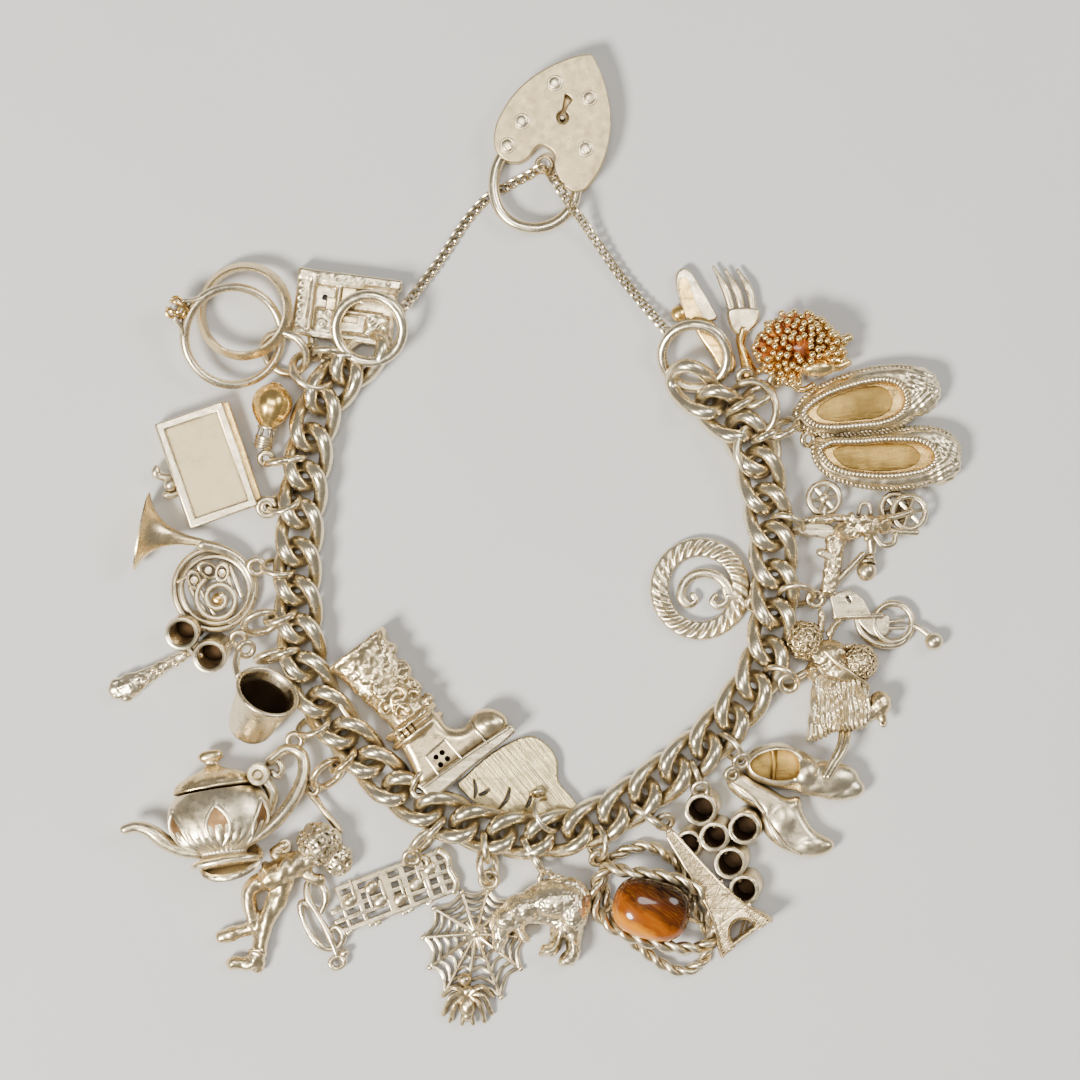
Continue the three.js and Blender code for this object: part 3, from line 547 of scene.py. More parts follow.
WORN_LINING = old_metal("worn_lining", (0.64, 0.42, 0.12), (0.33, 0.21, 0.06), (0.16, 0.08, 0.02),
                        rough=(0.35, 0.55), pits=0.6, lines=1.2, line_turn=8, patchy=1.0)
BRIGHT_GILT = old_metal("bright_gilt", (0.97, 0.74, 0.36), (0.90, 0.60, 0.22), (0.40, 0.2, 0.05),
                        rough=(0.16, 0.32), hollow=0.45, reach=0.7)
# Painted shade: a near-black metal laid where only shade falls, inside the thimble and the tubes,
# in the pin holes and behind the lenses.
PAINTED_SHADE = old_metal("painted_deep_shade", (0.075, 0.045, 0.024), (0.11, 0.06, 0.03), (0.02, 0.014, 0.008),
                 rough=(0.5, 0.7))
COPPERY = old_metal("coppery_tarnish", (0.34, 0.19, 0.085), (0.24, 0.13, 0.05), (0.10, 0.05, 0.02),
                    rough=(0.3, 0.5))


def amber_enamel():
    """Cloudy orange enamel under a clear coat, darkened with painted shade in its hollows."""
    m, tree, shader, where = new_material("amber_enamel")
    cloud = grain(tree, where, 420, 3)
    colour = blend(tree, ramp(tree, cloud, 0.35, 0.65), (0.40, 0.075, 0.012), (0.66, 0.25, 0.04))
    # Painted shade: ambient occlusion darkens the enamel towards deep red in its hollows.
    deep = ramp(tree, openness(tree, 1.2), 0.1, 0.75, 0.45, 0.0)
    fill_inputs(tree, shader, {
        "Base Color": blend(tree, deep, colour, (0.22, 0.05, 0.01)),
        "Roughness": ramp(tree, cloud, 0.3, 0.7, 0.22, 0.36),
        "Coat Weight": 0.6, "Coat Roughness": 0.08, "Normal": bumped(tree, cloud, 0.15, 0.1)})
    return m


BAND_TURN = math.radians(34)
BAND_SPAN = (-2.9, 5.2)
BANDS = [(0.0, (0.80, 0.36, 0.002)), (0.12, (0.56, 0.18, 0.001)), (0.22, (0.62, 0.22, 0.002)),
         (0.36, (0.21, 0.045, 0.0008)), (0.48, (0.27, 0.062, 0.001)),
         (0.60, (0.062, 0.012, 0.0006)), (0.74, (0.09, 0.018, 0.0008)),
         (1.0, (0.014, 0.003, 0.0006))]


def tiger_eye():
    """Glossy banded stone, orange-gold at its lower edge and dark red-brown at its upper one."""
    m, tree, shader, where = new_material("tiger_eye")
    turned = node(tree, "ShaderNodeMapping", {0: where, "Rotation": (0, 0, BAND_TURN)}).outputs[0]
    split = node(tree, "ShaderNodeSeparateXYZ", {0: turned})
    wave = grain(tree, where, 260, 3)
    height = maths(tree, "ADD", maths(tree, "MULTIPLY", split.outputs[1], 1 / MM),
                   maths(tree, "MULTIPLY", wave, 3.4))
    x, y = STONE_AT + SHIFT[:2]
    across = maths(tree, "SUBTRACT", height, x * math.sin(BAND_TURN) + y * math.cos(BAND_TURN))
    bands = node(tree, "ShaderNodeValToRGB", {0: ramp(tree, across, *BAND_SPAN)})
    colours = bands.color_ramp.elements
    while len(colours) < len(BANDS):
        colours.new(0.5)
    for e, (spot, c) in zip(colours, BANDS):
        e.position = spot
        e.color = (*c, 1)
    fibres = grain(tree, where, 2600, 2, ((0.15, 2.0, 1.0), (0, 0, -BAND_TURN)))
    colour = blend(tree, ramp(tree, fibres, 0.45, 0.75, 0.0, 0.16), bands.outputs[0],
                   (0.60, 0.24, 0.002))
    fill_inputs(tree, shader, {
        "Base Color": colour, "Roughness": ramp(tree, fibres, 0.3, 0.7, 0.16, 0.3),
        "Specular IOR Level": 0.12, "Coat Weight": 0.7, "Coat Roughness": 0.05,
        "Normal": bumped(tree, wave, 0.06, 0.2)})
    return m


def clear_stone():
    """The pale cut stone of the claw-set ring."""
    m, tree, shader, where = new_material("clear_stone")
    cloud = grain(tree, where, 900, 2)
    fill_inputs(tree, shader, {
        "Base Color": blend(tree, cloud, (0.80, 0.72, 0.55), (0.95, 0.92, 0.86)),
        "Roughness": ramp(tree, cloud, 0.3, 0.7, 0.05, 0.14), "Metallic": 0.35, "Coat Weight": 1.0})
    return m


ENAMEL = amber_enamel()
TIGER = tiger_eye()
GEM = clear_stone()


# ---------------------------------------------------------------- chain and rings

ROUTE = [(-23.2, 24.4), (-28.3, 18.4), (-30.5, 8.1), (-31.5, -6.5), (-29.9, -18.5), (-23.2, -27.9),
         (-17.9, -33.2), (-8.5, -37.9), (0.8, -39.2), (8.8, -37.2), (16.8, -31.9), (24.8, -25.2),
         (30.8, -15.9), (32.1, -5.2), (30.8, 5.5), (28.6, 13.5), (21.6, 20.2)]
LINKS = 33
SECTIONS = 8
LINK_HALF, LINK_SIDE, LINK_TWIST, LINK_WIRE = 3.8, 2.38, -1.28, 0.97

route = spline(ROUTE, 2001)
at_link = np.linspace(0, 2000, LINKS).round().astype(int)
spots = route[at_link]
heading = np.gradient(route, axis=0)[at_link]
heading = np.degrees(np.arctan2(heading[:, 1], heading[:, 0]))


def curb_link(half, side, twist, wire, steps=44, sides=12):
    """A twisted oval link, its middle at nought."""
    t = around(steps)
    p = np.stack([half * np.cos(t), side * np.sin(t), twist * np.sin(2 * t)], axis=1)
    return tube(p, wire, sides, closed=True)


def chain():
    """The links, one object for each of the CAD's chain sections."""
    first = [round(k * LINKS / SECTIONS) for k in range(SECTIONS + 1)]
    for s in range(SECTIONS):
        links = []
        for i in range(first[s], first[s + 1]):
            link = uneven(curb_link(LINK_HALF, LINK_SIDE, LINK_TWIST, LINK_WIRE), 0.03, 1.6, i)
            links.append(moved(link, (*spots[i], CHAIN_Z), (0, 0, heading[i])))
        piece(f"curb_links_{s + 1}", links, CHAIN_SILVER, [f"chain_section_{s + 1}"])


JUMP_WIRE = 0.42
JUMP_INSET = 0.6
# A charm further than this from its link hangs from two rings that overlap this far each way.
LONG_DROP = 5.4
DROP_OVERLAP = 0.75
DROP_WIRE = 1.2
# Links that no other charm may use: the last one and the one that carries the finger rings.
taken = {32, 1}


def nearest_link(eye):
    """The free link nearest to a charm's eye, which is free no longer."""
    order = np.argsort(np.linalg.norm(spots - np.asarray(eye), axis=1))
    k = next(int(i) for i in order if int(i) not in taken)
    taken.add(k)
    return k


def jump_ring(eye, wire=JUMP_WIRE, link=None):
    """The small ring, or two linked rings, between a chain link and a charm's own eye."""
    start = spots[nearest_link(eye) if link is None else link]
    gap = np.asarray(eye, float) - start
    far = np.linalg.norm(gap)
    spans = [(JUMP_INSET, far)]
    if far >= LONG_DROP:
        spans = [(JUMP_INSET, far * 0.5 + DROP_OVERLAP), (far * 0.5 - DROP_OVERLAP, far)]
        wire *= DROP_WIRE
    hoops = []
    for k, (near, end) in enumerate(spans):
        radius = (end - near) / 2
        centre = start + gap / far * (near + end) / 2
        tilt = math.degrees(math.asin(min(1.0, (CHAIN_Z - JUMP_WIRE - 0.05) / radius)))
        hoop = moved(ring(radius, wire, 12, 56), turn=(tilt * (-1) ** k, 0, 0))
        hoops.append(moved(hoop, (*centre, CHAIN_Z),
                           (0, 0, math.degrees(math.atan2(gap[1], gap[0])))))
    return merge(*hoops)


def eye(at, height=2.0, radius=1.0, wire=0.4, turn=0.0, tilt=0.0):
    """The little soldered loop that a jump ring passes through."""
    return moved(ring(radius, wire, 12, 32), (at[0], at[1], height), (tilt, 0, turn))


# ---------------------------------------------------------------- end rings, safety chain, padlock

def end_rings():
    """The two rings that close the ends of the chain, each a little tipped."""
    left = moved(ring(4.5, 0.72, 16, 72, flat=0.9), turn=(0, 14, 0))
    piece("left_end_ring", [moved(uneven(left, 0.03, 2), (-21.9, 28.2, 4.5), (0, 0, 251))],
          CHAIN_SILVER, ["end_ring_left"])
    right = moved(ring(4.4, 0.7, 16, 72, flat=0.9), turn=(0, 22, 0))
    piece("right_end_ring", [moved(uneven(right, 0.03, 2), (21.4, 24.6, 2.6), (0, 0, 250))],
          CHAIN_SILVER, ["end_ring_right"])


FINE_PITCH = 1.25


def fine_chain(points):
    """A fine curb chain laid along a route, as separate twisted links."""
    line = spline(points, 400)
    length = np.linalg.norm(np.diff(line, axis=0), axis=1).sum()
    count = int(round(length / FINE_PITCH)) + 1
    at = np.linspace(0, 399, count).round().astype(int)
    along = np.gradient(line, axis=0)
    small = curb_link(0.95, 0.5, 0.24, 0.2, steps=20, sides=7)
    out = []
    for i in at:
        d = along[i] / np.linalg.norm(along[i])
        out.append(moved(small, line[i], (0, -math.degrees(math.asin(d[2])),
                                          math.degrees(math.atan2(d[1], d[0])))))
    return out


def safety_chain():
    """Two runs of fine chain, joined by a small ring that goes through the padlock's notch."""
    low, over = 0.58, 3.7
    left = fine_chain([(-17.6, 30.7, 2.7), (-15.9, 33, 1.7), (-12.5, 37.6, 0.8), (-8.5, 43.5, low),
                       (-5.9, 46.1, low), (-3.2, 47.6, low), (-0.5, 49.0, low), (0.4, 49.6, low)])
    right = fine_chain([(1.9, 49.6, 0.8), (2.4, 48.6, 2.4), (3.4, 46.9, over), (5.1, 44.4, over),
                        (7.5, 41.2, 1.8), (11.5, 35.5, 0.9), (15.5, 30.6, 1.2), (17.6, 28.1, 2.2)])
    meet = [moved(ring(1.05, 0.26, 10, 32), (1.35, 50.3, low), (8, 0, 0)),
            moved(ring(0.75, 0.24, 10, 28), (-17.9, 30.2, 3.0), (40, 0, 60)),
            moved(ring(0.75, 0.24, 10, 28), (17.9, 27.7, 2.5), (40, 0, -50))]
    piece("fine_safety_chain", [*left, *right, *meet], CHAIN_SILVER, ["safety_chain"])


PIVOT = (-3.5, 52.6)
BOW_Z = 2.05
PADLOCK_TOP = 3.6
PADLOCK_EDGE = [(7.7, 64.8), (5.9, 64.6), (4.0, 64.0), (1.6, 62.9), (-0.7, 61.4), (-2.6, 59.6),
                (-4.0, 57.6), (-5.0, 55.6), (-5.35, 53.8), (-5.1, 52.1), (-4.2, 50.9), (-3.0, 50.4),
                (-1.7, 50.4), (-0.6, 51.1), (0.1, 52.2), (0.9, 52.7), (2.0, 52.3), (2.8, 51.4),
                (2.7, 50.0), (3.3, 48.4), (4.1, 47.2), (5.3, 46.5), (6.7, 46.7), (7.8, 47.9),
                (8.9, 49.7), (9.6, 51.5), (10.15, 54.2), (10.2, 56.8), (9.7, 59.8), (8.9, 62.4)]


def scaled_about(points, centre, amount):
    """Flat points drawn in towards, or out from, a centre."""
    c = np.asarray(centre)
    return (np.asarray(points) - c) * amount + c


def padlock():
    """A hollow heart with a slot for its bow, rivets, a keyhole and the pin inside it."""
    edge = spline([*PADLOCK_EDGE, PADLOCK_EDGE[0]], 150)[:-1]
    hole = spline([(4.55, 56.75), (4.55, 56.1), (4.0, 55.55), (3.3, 55.7), (3.0, 56.3), (3.3, 57.0),
                   (3.72, 57.25), (4.0, 58.4), (4.2, 59.4), (5.0, 58.8), (4.4, 57.9), (4.2, 57.15)],
                  60, closed=True)
    front = plate(edge, PADLOCK_TOP - 0.55, PADLOCK_TOP, 0.2, [hole], 3)
    back = plate(edge, 0.0, 0.75, 0.2, (), 3)
    wall = plate(scaled_about(edge, (3, 56.5), 0.985), 0.6, PADLOCK_TOP - 0.4, 0.02)
    low, high = BOW_Z - 1.05, BOW_Z + 1.05
    slot = plate(oval(2.1, 2.1, 40) + PIVOT, low, high, 0.02)
    side = np.array([(-1.2, -6), (1.3, -6), (1.3, 0.6), (-1.2, 0.6)])
    mouth = moved(plate(side, low, high, 0.02), (PIVOT[0] - 0.9, PIVOT[1] - 0.6, 0))
    pocket = tube([(4.8, 43.4, BOW_Z), (5.9, 48.4, BOW_Z)], 1.25, 16)
    wall = cut(wall, slot, mouth, pocket, plate(hole, 0.9, PADLOCK_TOP, 0.01))
    piece("padlock_case", [uneven(front, 0.012, 2.5), back, wall], BRUSHED, ["padlock_body"],
          sharp=28)

    rivets = []
    for k, (x, y) in enumerate([(2.8, 60.9), (7.4, 58.9), (-1.6, 55.8), (6.9, 52.2), PIVOT]):
        rivets += [moved(ring(0.9, 0.16, 10, 36, flat=0.5), (x, y, PADLOCK_TOP)),
                   ball((x, y, PADLOCK_TOP), (0.78, 0.78, 0.14), 24)]
        if k in (3, 4):
            rivets += [moved(tube([(-0.5, s, 0), (0.5, s, 0)], 0.07, 8), (x, y, PADLOCK_TOP + 0.13),
                             (0, 0, -60)) for s in (-0.16, 0.16)]
    rivets.append(moved(revolve([(0, 0), (0.34, 0), (0.34, 2.3), (0.26, 2.42), (0, 2.46)], 20),
                        (3.8, 56.35, 0.9)))
    piece("padlock_rivets", rivets, SILVER)

    bow = spline([(-3.9, 51.7), (-4.4, 51.2), (-5.2, 49.2), (-5.35, 46.6), (-4.6, 44.2),
                  (-2.9, 42.5), (-0.5, 41.75), (1.9, 42), (3.9, 43.2), (5.2, 45), (5.8, 47.4)], 90)
    hook = tube(at_height(bow, BOW_Z), 0.76, 18, flat=0.96)
    lug = moved(revolve([(0.82, -0.7), (1.45, -0.7), (1.5, -0.6), (1.5, 0.6), (1.45, 0.7),
                         (0.82, 0.7)], 36), (*PIVOT, BOW_Z))
    piece("padlock_bow", [uneven(hook, 0.02, 2), lug], CHAIN_SILVER, ["padlock_shackle"],
          body="shackle")


# ---------------------------------------------------------------- charms, left side

def rope(points, radius, turns=None, sides=8, count=260):
    """Two wires twisted about one another round a closed curve."""
    line = spline(points, count, closed=True)
    length = np.linalg.norm(np.diff(line, axis=0), axis=1).sum()
    turns = round(length / (radius * 5.6)) if turns is None else turns
    _, side, up = frames(line, True)
    a = np.linspace(0, 2 * math.pi * turns, count, endpoint=False)
    out = []
    for phase in (a, a + math.pi):
        p = line + radius * 0.5 * (np.cos(phase)[:, None] * side + np.sin(phase)[:, None] * up)
        out.append(tube(p, radius * 0.56, sides, closed=True))
    return out


def ring_pair():
    """A plain band and a claw-set ring, hung together from one link."""
    section = [(5.5, -0.85), (5.5, 0.85), (5.62, 0.98), (5.85, 0.95), (6.55, 0.2), (6.62, 0.0),
               (6.55, -0.2), (5.85, -0.95), (5.62, -0.98)]
    plain = moved(uneven(band(section, 96), 0.035, 3.0), turn=(12, 0, 0))
    piece("plain_band_ring", [moved(plain, (-38.6, 30.6, 2.75), (0, 0, -114))], WARM,
          ["wedding_band"])

    head = math.radians(268)
    out = np.array([math.cos(head), math.sin(head), 0])
    side = np.array([-out[1], out[0], 0])
    up = np.array([0, 0, 1.0])
    angles = around(96)
    near = np.cos(angles - head)
    wire = 0.58 + 0.14 * np.clip(near, 0, 1) ** 3
    line = np.stack([6.5 * np.cos(angles), 6.5 * np.sin(angles), 0 * angles], axis=1)
    parts = [tube(line, wire, 14, closed=True)]
    for s in (-1, 1):
        for z in (-0.75, 0.75):
            start = 6.5 * (out * math.cos(0.62) + s * side * math.sin(0.62))
            route = [start, out * 6.7 + s * side * 2.1 + up * z * 0.8, out * 8.1 + s * side * 1.25
                     + up * z]
            parts.append(rod(route, 20, 0.3, 10))
        parts.append(tube([out * 7.0 + s * side * 1.9 - up * 0.7, out * 7.0 + s * side * 1.9
                           + up * 0.7], 0.2, 8))
    gilt = [moved(ring(0.9, 0.22, 10, 28), out * 7.3, (0, 90, 268)),
            moved(ring(1.25, 0.2, 10, 28), out * 8.2, (0, 90, 268))]
    for k in range(6):
        a = math.pi * k / 3
        tip = side * math.cos(a) + up * math.sin(a)
        claw = [out * 7.0 + tip * 0.7, out * 8.0 + tip * 1.25, out * 9.1 + tip * 1.35, out * 9.4
                + tip * 1.05]
        gilt.append(rod(claw, 14, 0.24, 8))
    stone = revolve([(0, -1.0), (0.9, -0.2), (1.25, 0.15), (0.8, 0.62), (0, 0.66)], 8)
    stone = moved(moved(stone, turn=(0, 90, 268)), out * 8.75)
    here = {"shift": (-40.1, 27.3, 2.75), "turn": (0, 0, -114)}

    def lay(part):
        return moved(moved(part, turn=(-13, 0, 0)), **here)

    piece("solitaire_band", [lay(merge(*parts))], SILVER, ["solitaire_ring"])
    piece("solitaire_claws", [lay(merge(*gilt))], GILT)
    piece("solitaire_stone", [lay(stone)], GEM, sharp=12)
    piece("ring_pair_loop", uneven(jump_ring((-35.8, 26.8), 0.45, 1), 0.02, 1.5), SILVER,
          ["ring_pair_jump_ring"])


def piano():
    """A small upright cabinet with an overhanging top, painted sheen panels and two holes."""
    here = {"shift": (-25.1, 31.2, 0), "turn": (0, 0, -7.5)}
    body = [block((13.4, 8.4, 2.2), (0, 0, 1.1), bevel=0.3),
            block((14.0, 1.5, 2.8), (0.1, 3.7, 1.5), bevel=0.35),
            block((13.4, 0.5, 0.5), (0, 2.75, 2.5), bevel=0.2),
            block((13.8, 1.1, 2.6), (0, -4.0, 1.4), bevel=0.3),
            block((1.9, 7.4, 2.7), (-5.9, -0.2, 1.45), bevel=0.4),
            block((0.6, 7.0, 2.9), (-4.6, -0.2, 1.5), bevel=0.25),
            block((0.55, 3.4, 2.7), (-1.1, 1.0, 1.45), bevel=0.25),
            block((3.0, 2.6, 2.5), (4.4, -1.9, 1.35), bevel=0.4),
            block((6.0, 0.45, 2.7), (2.0, -0.6, 1.4), bevel=0.2),
            block((2.6, 3.2, 2.6), (-2.6, -2.2, 1.35), bevel=0.4)]
    body += [ball((-6.2 + 0.1 * math.sin(k * 3), -3.2 + k * 0.95, 2.72), (0.34, 0.3, 0.28), 12)
             for k in range(7)]
    body += [ball((-4.0 + k * 1.15, 3.75, 2.86), (0.3, 0.2, 0.16), 10) for k in range(9)]
    body += [moved(ring(0.5, 0.16, 8, 24), (x, y, 2.6), (0, 0, turn)) for x, y, turn in
             ((-2.9, -2.6, 30), (-2.2, -1.2, -20), (3.6, -1.4, 10), (5.2, -2.4, 50), (2.2, 1.6, 0))]
    solid = uneven(cast(body, 0.16, 2), 0.045, 0.9, 3)
    hole = revolve([(0, -1), (0.42, -1), (0.42, 5), (0, 5)], 20)
    solid = cut(solid, moved(hole, (-2.9, 0.9, 0)), moved(hole, (1.6, 2.0, 0), scale=(1.3, 0.7, 1)))
    tuft = [eye((-29.4, 25.2), 2.1, 1.05, 0.42, -40, 50), jump_ring((-29.4, 25.2))]
    neck = tube([(-29.7, 26.4, 1.8), (-29.9, 28.2, 1.4)], 0.5, 10)
    piece("upright_cabinet", [moved(solid, **here), *tuft, neck], SILVER, ["cabinet"], sharp=50)
    # Painted highlight: warmer raised panels stand for the sheen on the cabinet's flat faces.
    sheen_panels = [block((1.9, 3.0, 0.4), (0.2, 1.4, 2.25), bevel=0.15),
            block((1.6, 4.8, 0.4), (-1.9, -1.4, 2.15), bevel=0.15),
            block((2.0, 0.9, 0.4), (0.8, -1.6, 2.15), bevel=0.15)]
    piece("cabinet_painted_sheen_panels", [moved(uneven(g, 0.03, 0.6), **here) for g in sheen_panels], WARM)


def hot_air_balloon():
    """A small gored ball with a woven basket, lying on its side."""
    here = {"shift": (-34.9, 18.2, 2.85)}

    def lay(part):
        return moved(moved(moved(part, turn=(-90, 0, 0)), turn=(0, 0, -12)), **here)

    def gore(angle, r, z):
        return r * (1 - 0.035 * abs(math.cos(4 * angle)) ** 6)

    bag = revolve([(0, 2.8), (0.9, 2.68), (1.8, 2.15), (2.45, 1.3), (2.75, 0.4), (2.7, -0.5),
                   (2.3, -1.5), (1.65, -2.4), (1.15, -2.95), (1.05, -3.2), (0, -3.2)][::-1], 48,
                  gore)
    crown = moved(ring(0.55, 0.2, 8, 24), (0, 0, 2.75))
    collar = moved(ring(1.1, 0.22, 10, 32), (0, 0, -3.2))
    basket = revolve([(0, -6.2), (0.9, -6.1), (1.15, -5.8), (1.2, -4.7), (1.32, -4.5),
                      (1.25, -4.35), (0, -4.4)], 24)
    weave = [moved(ring(1.17, 0.12, 8, 24), (0, 0, z)) for z in (-5.7, -5.35, -5.0)]
    ropes = [tube([(0.95 * math.cos(a), 0.95 * math.sin(a), -3.2),
                   (1.1 * math.cos(a), 1.1 * math.sin(a), -4.5)], 0.13, 8) for a in around(6)]
    piece("balloon_bag", [lay(uneven(merge(bag, crown), 0.05, 1.1, 5))], GILT)
    frame_bits = merge(collar, uneven(basket, 0.05, 0.5), *weave, *ropes)
    hung = [eye((-35.7, 11.0), 2.3, 0.85, 0.4, 0, 20), jump_ring((-35.6, 10.3))]
    piece("balloon_basket", [lay(frame_bits), *hung], SILVER, ["hot_air_balloon"])


def closed_book():
    """A book with a framed cover, loose-edged pages and a clasp."""
    here = {"shift": (-43.2, 10.3, 0), "turn": (0, 0, 19)}
    w, h = 5.2, 7.35

    def quad(x, y, dx=0.0):
        return np.array([(-x + dx, -y), (x + dx, -y), (x + dx, y), (-x + dx, y)])

    border = plate(quad(w - 0.45, h, -0.45), 2.45, 3.1, 0.22, [quad(w - 1.55, h - 1.15, -0.5)])
    panel = plate(quad(w - 1.5, h - 1.1, -0.5), 2.3, 2.72, 0.05)
    back = plate(quad(w - 0.3, h, -0.3), 0.0, 0.6, 0.2)
    spine = plate(quad(0.5, h - 0.1, -w + 0.35), 0.2, 2.95, 0.35)
    piece("book_cover", [moved(p, **here) for p in (border, back, spine)], SILVER, ["book"])
    piece("book_panel", [moved(panel, **here)], BRUSHED)
    pages = [plate(quad(w - 0.55, h - 0.35, 0.1), 0.55 + 0.24 * k, 0.55 + 0.24 * k + 0.19, 0.05)
             for k in range(8)]
    pages = [moved(p, (0.18 + 0.05 * math.sin(k * 2.3), 0, 0)) for k, p in enumerate(pages)]
    piece("book_pages", [moved(p, **here) for p in pages], GILT)
    clasp = [rod([(-5.0, -0.2, 1.4), (-6.4, 0.3, 1.5), (-7.3, 1.1, 1.6), (-7.0, 1.8, 1.7)], 18,
                 [0.5] * 12 + [0.55, 0.6, 0.6, 0.6, 0.55, 0.45], 12),
             rod([(-5.0, -1.9, 1.4), (-6.0, -2.3, 1.5), (-6.9, -2.0, 1.6)], 14, 0.5, 12),
             ball((-5.9, -0.9, 1.9), (0.95, 0.95, 0.9), 20)]
    hung = [eye((-35.6, 4.5), 2.3, 1.15, 0.45, 0, 14), eye((-35.6, 4.5), 2.6, 0.62, 0.22, 0, 14),
            jump_ring((-35.4, 4.4)), tube([(-36.4, 5.2, 2.0), (-37.6, 6.4, 1.7)], 0.5, 10)]
    piece("book_clasp_and_loop", [moved(merge(*clasp), **here), *hung], SILVER)


def french_horn():
    """A flared bell and the coils behind it, with short levers across them."""
    bell = [(0.55, -4.6), (0.6, -3.4), (0.75, -2.0), (1.05, -0.6), (1.6, 0.7), (2.5, 1.9),
            (3.6, 2.8), (4.7, 3.35), (5.1, 3.5), (5.3, 3.62), (5.25, 3.82), (5.0, 3.86),
            (4.6, 3.62), (3.5, 3.05), (2.4, 2.2), (1.5, 1.0), (0.95, -0.4), (0.5, -1.6),
            (0.3, -1.7)]
    flare = revolve(bell, 64)
    lying = moved(moved(moved(flare, turn=(0, -90, 0)), scale=(1, 1, 0.6)), (-48.6, 0.6, 3.15),
                  (0, 0, -11))
    z = 1.25
    cx, cy = -42.7, -6.4
    circle = oval(5.35, 5.35, 72) + (cx, cy)
    second = oval(4.55, 4.45, 72) + (cx + 0.15, cy - 0.1)
    wires = [tube(at_height(circle, z), 0.46, 12, closed=True),
             tube(at_height(second, z + 0.5), 0.36, 12, closed=True)]
    throat = [(-44.2, -0.5, 2.9), (-42.0, -1.0, 2.4), (-39.6, -2.2, 1.9), (-38.0, -4.4, 1.5),
              (-37.7, -6.8, 1.3), (-38.6, -9.4, 1.2), (-40.6, -11.0, 1.2)]
    wires.append(rod(throat, 60, np.linspace(0.75, 0.42, 60), 14))
    curl = [(cx + 0.6 + r * math.cos(a), cy - 1.3 + r * math.sin(a), 2.1)
            for a, r in zip(np.linspace(2.2, 2.2 + 3.6 * math.pi, 40), np.linspace(3.1, 0.7, 40))]
    wires.append(rod(curl, 130, 0.42, 10))
    for x, y, r, t in [(-45.3, -5.2, 0.95, 20), (-43.4, -3.9, 1.1, 60), (-41.6, -4.2, 0.95, -10)]:
        wires.append(moved(ring(r, 0.3, 10, 32), (x, y, 2.15), (12, 0, t), (0.8, 1.2, 1)))
        wires.append(moved(revolve([(0, 0.4), (0.55, 0.4), (0.6, 2.3), (0.45, 2.6), (0, 2.65)], 20),
                           (x, y, 0)))
    for a, b in [((-45.9, -6.2), (-43.4, -10.3)), ((-44.9, -5.9), (-42.6, -9.9)),
                 ((-40.6, -3.4), (-39.0, -7.4)), ((-41.4, -3.0), (-39.9, -7.9)),
                 ((-47.4, -5.4), (-44.2, -3.4))]:
        wires.append(tube([(*a, 1.9), (*b, 1.9)], 0.3, 10))
    for k in range(5):
        wires.append(ball((-40.8 + 0.62 * k, -11.4 + 0.32 * k, 1.3), 0.33, 12))
    hung = [eye((-37.0, -3.4), 2.2, 1.0, 0.42, 0, 16), jump_ring((-36.2, -3.2))]
    piece("horn_bell", [uneven(lying, 0.02, 2.5)], WARM)
    piece("horn_coils", [*wires, *hung], SILVER, ["french_horn"])
    piece("horn_gilt_centre", ball((cx + 0.6, cy - 1.3, 1.8), (0.9, 0.8, 0.4), 18), GILT)


def opera_glasses():
    """Two leaning barrels with lenses deep inside them, and a worked handle."""
    barrels, lenses = [], []
    for (x, y), lean in (((-46.8, -12.3), (0.35, 0.5)), ((-43.1, -15.4), (0.25, 0.55))):
        prof = [(1.75, 0.05), (2.0, 0.0), (2.15, 0.3), (2.1, 0.7), (1.9, 1.0), (1.95, 2.8),
                (2.25, 3.2), (2.35, 3.9), (2.2, 4.25), (1.95, 4.3), (1.7, 4.15), (1.6, 3.6),
                (1.6, 0.1)]
        v, f = moved(band(prof, 56), scale=(1, 0.95, 1))
        shear = (4.2 - v[:, 2:3]) * np.array([[*lean, 0]]) * 0.55
        barrels.append(moved((v + shear, f), (x, y, 0.02)))
        lenses.append(ball((x + 1.8 * lean[0], y + 1.8 * lean[1], 0.9), (1.68, 1.6, 0.25), 24))
    bridge = [rod([(-46.2, -14.0, 2.8), (-45.4, -14.9, 2.9), (-44.4, -15.2, 2.8)], 12, 0.42, 10),
              block((1.2, 1.6, 1.8), (-45.2, -14.0, 2.0), -38, 0.3)]
    spine_line = spline([(-45.6, -14.8, 2.3), (-47.4, -15.6, 2.0), (-49.5, -16.8, 1.8),
                         (-51.6, -18.0, 1.6), (-53.6, -19.1, 1.5), (-55.6, -19.9, 1.4)], 60)
    wide = np.interp(np.linspace(0, 1, 60), [0, 0.15, 0.3, 0.5, 0.7, 0.85, 1],
                     [0.5, 0.75, 0.7, 0.95, 1.2, 1.7, 1.3])
    stem = tube(spine_line, wide, 18, flat=0.62)
    stem = pushed(stem, lambda v: 0.24 * (pebbles(v, 0.75, 4) - 0.4))
    knobs = [ball((-46.6 - 1.05 * k, -15.4 - 0.56 * k + 0.45 * (-1) ** k, 2.5 - 0.05 * k),
                  (0.42, 0.38, 0.35), 14) for k in range(9)]
    flare = [ball((-55.7, -18.9, 1.5), (0.9, 0.6, 0.6), 16),
             ball((-54.4, -20.9, 1.4), (0.9, 0.6, 0.6), 16)]
    hung = [eye((-39.4, -13.0), 2.2, 0.95, 0.38, 0, 20), jump_ring((-38.6, -11.6)),
            tube([(-40.3, -13.6, 2.2), (-41.4, -14.4, 2.4)], 0.4, 10)]
    piece("glasses_barrels", [*barrels, *bridge, *hung], SILVER, ["opera_glasses"])
    piece("glasses_handle", [uneven(cast([stem, *knobs, *flare], 0.13, 1), 0.04, 0.5)], SILVER)
    # The lenses take the painted-shade material: dark discs deep in the barrels.
    piece("glasses_lenses", lenses, PAINTED_SHADE)


